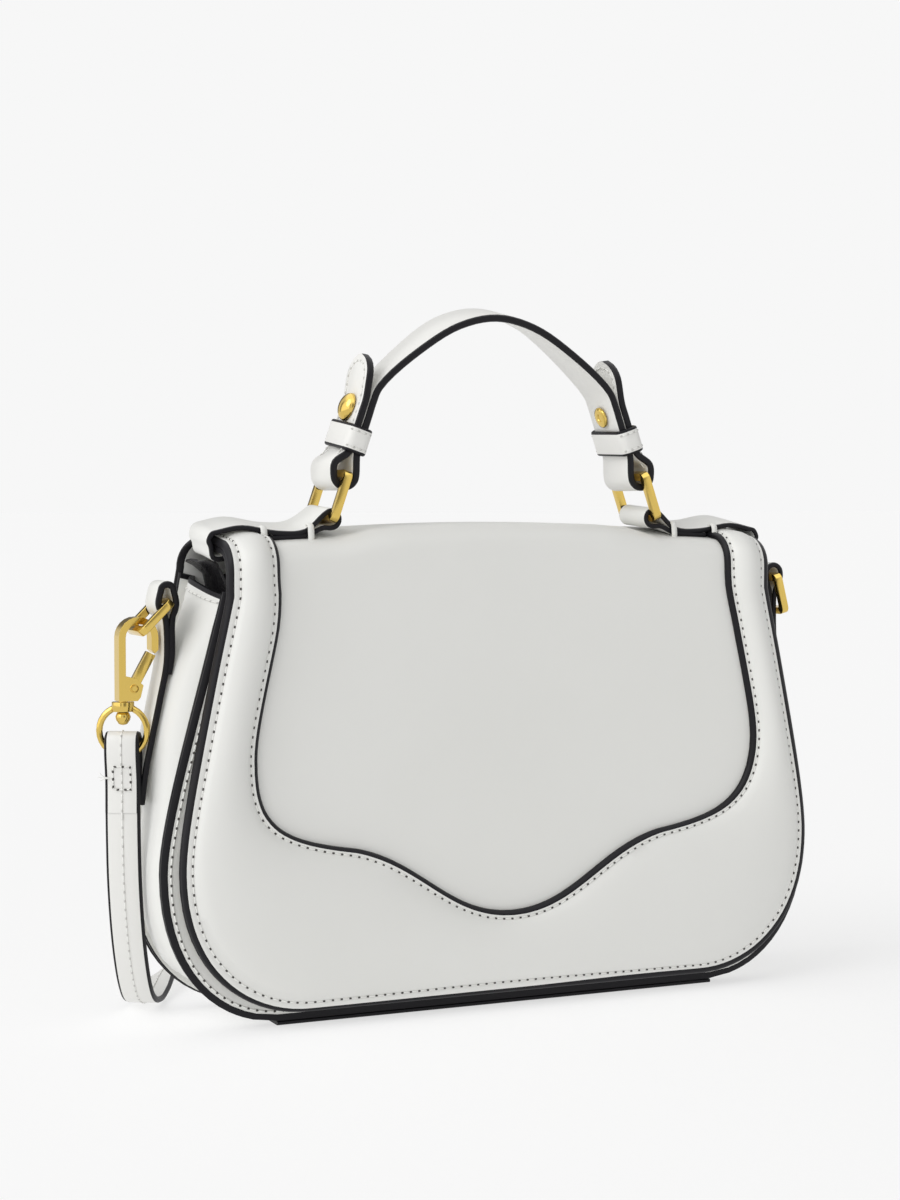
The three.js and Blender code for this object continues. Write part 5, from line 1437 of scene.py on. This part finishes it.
tie_line = [TIE_MIDDLE + Vector((0, y, z)) for y, z in rounded(*TIE_HALF, TIE_CORNER, 4)]
strip("coil_tie_band", tie_line, Vector((TIE_WIDTH / 2, 0, 0)), TIE_THICK, 0.3, [tie_cloth], "body",
      "coil_tie", slot="tie", loop=True, flat=True)

# Stitching


def stitch_row(name, points, body, pitch=STITCH, thread=THREAD, loop=False, hole=hole_painted_shade):
    """A row of stitches along points: one stitch with its needle hole, repeated along a curve; the hole is a small
    ellipsoid whose dark or pale colour is painted shade.
    """
    bpy.ops.object.select_all(action="DESELECT")
    bpy.ops.curve.primitive_bezier_curve_add(location=(0, 0, 0))
    guide = bpy.context.object
    guide.data.splines.clear()
    spline = guide.data.splines.new("POLY")
    spline.points.add(len(points) - 1)
    for spot, place in zip(spline.points, points):
        spot.co = (*(place * MM), 1)
    spline.use_cyclic_u = loop
    guide.data.dimensions = "3D"
    bpy.ops.object.select_all(action="DESELECT")
    bpy.ops.mesh.primitive_uv_sphere_add(segments=6, ring_count=5, radius=thread * MM,
                                         rotation=(0, math.pi / 2, 0))
    bpy.ops.object.transform_apply(location=True, rotation=True, scale=True)
    piece = bpy.context.object
    piece.name = name
    bpy.ops.object.mode_set(mode="EDIT")
    for sign in (-1, 1):
        points_now = bmesh.from_edit_mesh(piece.data).verts
        pick(piece, [i for i, point in enumerate(points_now) if point.co.x * sign > 1e-6])
        bpy.ops.transform.translate(value=(sign * (pitch / 2 - thread - STITCH_GAP) * MM, 0, 0))
    bpy.ops.mesh.select_all(action="SELECT")
    bpy.ops.transform.translate(value=(pitch / 2 * MM, 0, 0))
    bpy.ops.mesh.select_all(action="DESELECT")
    # The needle hole: a small ellipsoid whose colour is painted shade, darker for an open hole, paler where the thread
    # is drawn tight.
    bpy.ops.mesh.primitive_ico_sphere_add(subdivisions=1, radius=HOLE_R * MM, location=(0, 0, 0))
    bpy.ops.transform.resize(value=HOLE_SHAPE)
    bpy.ops.object.mode_set(mode="OBJECT")
    threads = len(piece.data.polygons) - HOLE_FACES
    for face in piece.data.polygons[threads:]:
        face.material_index = 1
    apply_modifier(piece, "ARRAY", fit_type="FIT_CURVE", curve=guide, use_relative_offset=False,
                   use_constant_offset=True, constant_offset_displace=(pitch * MM, 0, 0))
    apply_modifier(piece, "CURVE", object=guide, deform_axis="POS_X")
    bpy.data.objects.remove(guide)
    return settle(piece, (white_thread, hole), "leather", body, angle=60)


def thread_piece(name, path, wide, thick, body):
    """A thick thread along a path, flattened across the X direction."""
    rings = []
    for place, along in zip(path, headings(path)):
        across = Vector((1, 0, 0))
        across = (across - along * across.dot(along)).normalized()
        rings.append([place + spoke for spoke in oval(across, along.cross(across), wide, thick, 8)])
    return settle(sweep(name, rings), (white_thread, white_thread), "leather", body, angle=60)


def overlay_row(from_inner, depth):
    row = []
    for outer, inner in overlay_cuts:
        width = (inner - outer).length
        across = width - depth if from_inner else depth
        row.append(overlay_place(outer, inner, across, OVERLAY_TOP - 0.15))
    return row


def edge_row(outline, depth, y):
    """Along a panel's edge, from its left top round the foot to its right top."""
    row = inset(mirrored(outline) + outline, depth)
    return [Vector((place.x, y, place.z)) for place in row]


def gusset_top_row(side):
    z = BODY_TOP - TOP_SEAM
    place = Vector((half_at(body_side, z), 0, z))
    web_y = GUSSET_Y - GUSSET_LEATHER
    row = []
    for i in range(21):
        share = TOP_SEAM_REACH * (i / 10 - 1)
        depth = FLANGE - bulge_at(z) * (1 - share ** 4) - 0.1
        y = share * web_y
        x = place.x - depth + back_spread(y, z)
        row.append(Vector((side * x, y, z + top_rise(y, z))))
    return row


def beside_strap(path, wides, height):
    """A row down the middle of a strap, at a height above its middle layer."""
    return [place + along.cross(wide.normalized()) * height
            for place, along, wide in zip(path, headings(path), wides)]


stitch_row("overlay_outer_stitches", overlay_row(False, OUTER_SEAM), "flap")
stitch_row("overlay_inner_stitches", overlay_row(True, INNER_SEAM), "flap")
stitch_row("front_panel_stitches", edge_row(body_side, FRONT_SEAM, FRONT_FACE - 0.1), "body")
stitch_row("back_panel_stitches", edge_row(back_side[:-2], BACK_SEAM, BACK_FACE + 0.1), "body")
for name, side in SIDES:
    stitch_row("gusset_top_stitches_" + name, gusset_top_row(side), "body", hole=pale_hole_painted_shade)
strap_rows = []
for name, sign in (("upper", 1), ("under", -1)):
    row = beside_strap(strap_path, strap_reach, sign * (STRAP_THICK / 2 + THREAD_RISE))
    strap_rows.append(stitch_row("strap_stitches_" + name, row, None, hole=pale_hole_painted_shade))
    fold_height = sign * (FOLD_THICK / 2 + THREAD_RISE)
    left_row = beside_strap(left_fold, [left_wide] * len(left_fold), fold_height)
    stitch_row("strap_end_stitches_left_" + name, left_row[3:], "strap_left", hole=pale_hole_painted_shade)
    far_row = beside_strap(far_fold, [across_strap] * len(far_fold), fold_height)
    stitch_row("strap_end_stitches_far_" + name, far_row[3:], "body", hole=pale_hole_painted_shade)


def on_left_end(x, out, z):
    """A place on the left end of the strap, out from the face of its main side."""
    opened = ease((z - HOOK_Z - WIRE_Z) / FOLD_OPENS + 1)
    face = FOLD_STEP + (FOLD_R - FOLD_STEP) * opened + FOLD_THICK / 2
    return Vector((STEM_X, 0, z)) + strap_turn_side(Vector((x, -face - out, 0)))


box_levels = [BOX_LOW + (BOX_HIGH - BOX_LOW) * i / 4 for i in range(5)]
box_corners = [(BOX_HALF, z) for z in box_levels] + [(-BOX_HALF, z) for z in reversed(box_levels)]
box_row = [on_left_end(x, 0.1, z) for x, z in box_corners]
stitch_row("strap_end_box_stitches", box_row, "strap_left", FINE_STITCH, FINE_THREAD, loop=True)
edge_x = -STRAP_WIDTH / 2
low = (BOX_LOW + BOX_HIGH) / 2
for number, (rise, reach) in enumerate(LOOSE_ENDS):
    strand = [on_left_end(edge_x + 2.2, 0.1, low), on_left_end(edge_x + 0.5, 0.5, low + 0.2 * rise),
              on_left_end(edge_x - 0.5 * reach, 0.3, low + 0.6 * rise),
              on_left_end(edge_x - reach, -0.3, low + rise)]
    thread_piece(f"loose_thread_{number + 1}", smooth(strand, 4), *LOOSE_THREAD, "strap_left")


def keeper_row(side, along):
    path = keeper_path(side)
    middle = sum(path, Vector()) / len(path)
    shift = to_side(handle_along, side) * along
    row = []
    for place in path:
        from_middle = place - middle
        grown = from_middle + from_middle.normalized() * (KEEPER_WALL / 2 + 0.1)
        row.append(middle + grown + shift)
    return row


def on_tail(side, length, y, height):
    """A place on the turned-up end of the handle, by the length from its tip."""
    for here, there in zip(handle_line, handle_line[1:]):
        run = (there - here).length
        if length <= run:
            break
        length -= run
    along = (there - here).normalized()
    place = here + along * length + along.cross(Vector((0, 1, 0))) * height
    return Vector((side * place.x, HANDLE_Y + y, place.z))


def tail_row(side, height):
    """Up one edge of the turned-up end, round its tip and down the other edge."""
    lengths = (39, 32, 25, 18, 13)
    row = [(length, TAIL_SEAM) for length in lengths]
    for i in range(13):
        angle = math.pi * i / 12
        row.append((TAIL_ROUND - TAIL_SEAM_RISE * math.sin(angle), TAIL_SEAM * math.cos(angle)))
    row += [(length, -TAIL_SEAM) for length in reversed(lengths)]
    return [on_tail(side, length, y, height) for length, y in row]


def tack_path(side, x):
    """A bar of thread over the front edge of a handle tab, down to the flap."""
    tab_top = max(p.z for p in handle_tab_path(1) if abs(p.x - x) < 1.5)
    top = tab_top + TAB_LEATHER - tab_tilt(x)
    foot = FLAP_TOP - droop(x, TOP_START) + (OVERLAY_TOP if x > WINDOW_TOP_HALF else 0) - 0.3
    edge_y = HANDLE_Y - HANDLE_WIDTH / 2
    bends = [(2.2, top), (0.9, top + 0.3), (-0.4, top), (-1.0, (top + foot) / 2), (-1.2, foot)]
    return smooth([Vector((side * x, edge_y + y, z)) for y, z in bends], 4)


for name, side in SIDES:
    for level, along in (("low", -KEEPER_SEAM), ("high", KEEPER_SEAM)):
        stitch_row(f"keeper_stitches_{level}_{name}", keeper_row(side, along), "handle", FINE_STITCH,
                   FINE_THREAD, loop=True, hole=pale_hole_painted_shade)
    for face, sign in (("outer", 1), ("inner", -1)):
        row = tail_row(side, sign * (HANDLE_LEATHER / 2 + THREAD_RISE))
        stitch_row(f"handle_stitches_{face}_{name}", row, "handle", HANDLE_STITCH, FINE_THREAD,
                   hole=pale_hole_painted_shade)
    for place, x in TACKS:
        thread_piece(f"tab_tack_{place}_{name}", tack_path(side, x), *TACK_THREAD, "flap")

# Metal parts

stud_profile = [(STUD_POST[0], -STUD_POST[1]), (STUD_POST[0], 0), (STUD_HEAD[0] - 0.3, 0)]
for step in range(9):
    angle = math.pi / 2 * step / 8
    radius = max(STUD_HEAD[0] * math.cos(angle), 0.1)
    stud_profile.append((radius, 0.4 + (STUD_HEAD[1] - 0.4) * math.sin(angle)))
base_profile = [(0.1, -0.9), (1.2, -0.9), (1.5, -1.3), (2.8, -1.3), (3.5, -1.1), (3.8, -0.7), (3.8, -0.3)]
for name, side in SIDES:
    refined("handle_ring_" + name, "ring_of_handle_" + name, gold, "gold", RING_EDGE["handle"])
    outward = to_side(handle_out, side)
    for part, profile, out in (("stud", stud_profile, LAYER_STEP + HANDLE_LEATHER / 2 + GAP),
                               ("stud_base", base_profile, -HANDLE_LEATHER / 2 - GAP)):
        foot = beside_handle(STUD_AT, out)
        place = Vector((side * foot.x, HANDLE_Y, foot.z))
        node = f"handle_{part}_{name}"
        turned(node + "_turned", profile, place, outward, gold, "handle", [node])
for name, body in (("left", "strap_left"), ("right", "ring_right")):
    refined("side_ring_" + name, body, gold, "gold", RING_EDGE["side"])

half_pin = [(0.9, 2.7), (1.5, 2.8), (1.4, 3.0), (1.2, 3.05), (1.1, 2.9), (1.0, 2.9), (0.9, 3.05),
            (0.1, 3.05)]
pin_profile = [(radius, -along) for radius, along in reversed(half_pin)] + half_pin


def shape_cheek(place):
    """Slopes the upper and the right side of the cheek, in the hook's own frame."""
    beside_pin = math.hypot(place.x - PIN.x, place.z - PIN.z) < PIN_ROOM
    if beside_pin or place.x < BAR_RIGHT + 0.5 or place.z > CHEEK_TOP + 0.5:
        return place
    share = (place.x - BAR_RIGHT) / (CHEEK_RIGHT - BAR_RIGHT)
    lower = CHEEK_SLOPE * share * ease((place.z - CHEEK_SHOULDER) / 2)
    drawn_in = share * ease((CHEEK_SHOULDER - place.z) / 4)
    return place - Vector((drawn_in, 0, lower))


def cheek_of(frame_of_hook):
    """What shapes the cheek of one of the two hooks, in the bag's frame."""
    return lambda place: frame_of_hook @ shape_cheek(frame_of_hook.inverted() @ place)


from_left_hook = Matrix.Translation(left_place)
lying_flat = Matrix(((0, 0, -1), (1, 0, 0), (0, -1, 0))).to_4x4()
from_far_hook = Matrix.Translation(FAR_HOOK) @ lying_flat
hook_pieces = {}
for name, holder, of_hook in (("left", "strap_left", from_left_hook), ("far", "body", from_far_hook)):
    pin_place = of_hook @ PIN
    pin_axis = (of_hook @ (PIN + Vector((0, 1, 0))) - pin_place).normalized()
    hook_pieces[name] = [
        refined("swivel_ring_" + name, holder, gold, "gold", WIRE_EDGE, 2),
        refined("snap_hook_" + name, "hook_" + name, gold, "gold", HOOK_EDGE, 4, reshape=cheek_of(of_hook)),
        refined("swivel_stud_" + name, "hook_" + name, gold, "gold", SWIVEL_EDGE),
        turned("gate_pin_turned_" + name, pin_profile, pin_place, pin_axis, gold, "hook_" + name,
               ["gate_pin_" + name]),
        refined("snap_gate_" + name, "gate_" + name, gold, "gold", GATE_EDGE),
        refined("gate_spring_" + name, "gate_" + name, steel, "steel", 0),
    ]
for body in ("body", "flap"):
    refined(body + "_magnet", body, steel, "steel", WIRE_EDGE)

# Bending pieces and the cord

hinge_low = Vector((0, BACK_FACE, HINGE_Z - HINGE_STARTS_BELOW)) * MM
hinge_high = hinge_low + HINGE_BEND * MM
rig.blend(flap_and_back, "body", "flap", start=hinge_low, end=hinge_high)
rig.replaces(flap_and_back, "flap_panel", "back_panel")
for piece in (strap, *strap_rows):
    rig.blend(piece, "strap_left", "body", start=strap_path[0] * MM, end=STRAP_RESTS * MM)
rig.replaces(strap, "strap_drop", "strap_coil")
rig.cord(strap, exit=tuple(strap_path[0] * MM), length=round(strap_length, 3), diameter=STRAP_WIDTH * MM,
        far_end="fitting", stiffness="medium", lay="coiled", path=[tuple(p * MM) for p in strap_path],
        with_pieces=[far_end, *hook_pieces["far"]])

# Floor, light and camera

WHITE = (1, 1, 1, 1)
BACKGROUND = (0.93, 0.93, 0.93, 1)
FLOOR_GLOW = 0.614
FLOOR_SIZE = 60
ROOM_LEFT = 1.15
ROOM_RIGHT = 0.0
PANEL_LEVEL = 1.5
PANELS = ((0.0, 1.0), (0.14, 0.9), (0.18, 0.08), (0.22, 0.1), (0.26, 0.62), (0.38, 0.55), (0.42, 0.12),
          (0.6, 0.1), (0.7, 0.5), (1.0, 0.8))
CAMERA_PLACE = (-0.35211, -0.74843, 0.17821)
CAMERA_DOWN = 2.487
CAMERA_TURN = -24.463
floor_material, floor_tree, floor_shader = new_material(
    "pale_floor", Roughness=1.0, Specular_IOR_Level=0, Emission_Color=WHITE, Emission_Strength=FLOOR_GLOW)
floor_surface = place_effect(floor_tree, uneven, Scale=3.0, Contrast=0.6)
floor_tint = between(floor_tree, floor_surface.outputs["Slow"], (0.4, 0.4, 0.4), (0.403, 0.403, 0.403))
floor_tree.links.new(floor_tint, floor_shader.inputs["Base Color"])
bpy.ops.object.select_all(action="DESELECT")
bpy.ops.mesh.primitive_plane_add(size=FLOOR_SIZE, location=(0, 0, 0))
floor = bpy.context.object
floor.name = "floor"
floor.data.materials.append(floor_material)
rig.stage(floor)

world = bpy.data.worlds.new("studio")
bpy.context.scene.world = world
world.use_nodes = True
sky = world.node_tree
ambient = sky.nodes["Background"]
ambient.inputs["Color"].default_value = WHITE
backdrop = add_node(sky, "ShaderNodeBackground", {"Color": BACKGROUND})
reflected = add_node(sky, "ShaderNodeBackground", {"Color": WHITE})
rays = sky.nodes.new("ShaderNodeLightPath")
room = sky.nodes.new("ShaderNodeTexCoord")
direction = sky.nodes.new("ShaderNodeSeparateXYZ")

# The room is brighter on the left. Reflections see bright panels at both sides and overhead, and a
# softer one in front, with dark gaps between them.
from_left = add_node(sky, "ShaderNodeMapRange", {"From Min": -1, "To Min": ROOM_LEFT, "To Max": ROOM_RIGHT})
across = add_node(sky, "ShaderNodeMapRange", {"From Min": -1})
panels = sky.nodes.new("ShaderNodeValToRGB")
for place, level in PANELS[1:-1]:
    panels.color_ramp.elements.new(place)
for stop, (place, level) in zip(panels.color_ramp.elements, PANELS):
    stop.position = place
    stop.color = (level, level, level, 1)
overhead = add_node(sky, "ShaderNodeMapRange", {"From Min": 0.35, "From Max": 0.75})
brightest = add_node(sky, "ShaderNodeMath", operation="MAXIMUM")
panel_level = add_node(sky, "ShaderNodeMath", {1: PANEL_LEVEL}, operation="MULTIPLY")
if_glossy = sky.nodes.new("ShaderNodeMixShader")
if_seen = sky.nodes.new("ShaderNodeMixShader")
seen = add_node(sky, "ShaderNodeMath", operation="MAXIMUM")
join(sky,
     (room, "Generated", direction, "Vector"),
     (direction, "X", from_left, "Value"), (from_left, "Result", ambient, "Strength"),
     (direction, "X", across, "Value"), (across, "Result", panels, "Fac"),
     (direction, "Z", overhead, "Value"),
     (panels, "Color", brightest, 0), (overhead, "Result", brightest, 1),
     (brightest, "Value", panel_level, 0), (panel_level, "Value", reflected, "Strength"),
     (rays, "Is Glossy Ray", if_glossy, "Fac"),
     (ambient, "Background", if_glossy, 1), (reflected, "Background", if_glossy, 2),
     (rays, "Is Camera Ray", seen, 0), (rays, "Is Transmission Ray", seen, 1),
     (seen, "Value", if_seen, "Fac"),
     (if_glossy, "Shader", if_seen, 1), (backdrop, "Background", if_seen, 2),
     (if_seen, "Shader", sky.nodes["World Output"], "Surface"))


def add_sun(name, strength, spread, tilt, turn):
    lamp = bpy.data.lights.new(name, "SUN")
    lamp.energy = strength
    lamp.angle = math.radians(spread)
    holder = bpy.data.objects.new(name, lamp)
    holder.rotation_euler = (math.radians(tilt), 0, math.radians(turn))
    bpy.context.scene.collection.objects.link(holder)


add_sun("key_light", strength=0.85, spread=40, tilt=50, turn=-75)
add_sun("fill_light", strength=0.3, spread=100, tilt=65, turn=-10)

camera_data = bpy.data.cameras.new("camera")
camera_data.sensor_fit = "VERTICAL"
camera_data.sensor_height = 36
camera_data.lens = 69
camera = bpy.data.objects.new("camera", camera_data)
camera.location = CAMERA_PLACE
camera.rotation_euler = (math.radians(90 - CAMERA_DOWN), 0, math.radians(CAMERA_TURN))
bpy.context.scene.collection.objects.link(camera)
bpy.context.scene.camera = camera
bpy.context.scene.view_settings.view_transform = "Standard"

with open("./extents.json", "w") as size_file:
    json.dump({"cad": cad_box, "visual": [list(corner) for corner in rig.bounds()]}, size_file)
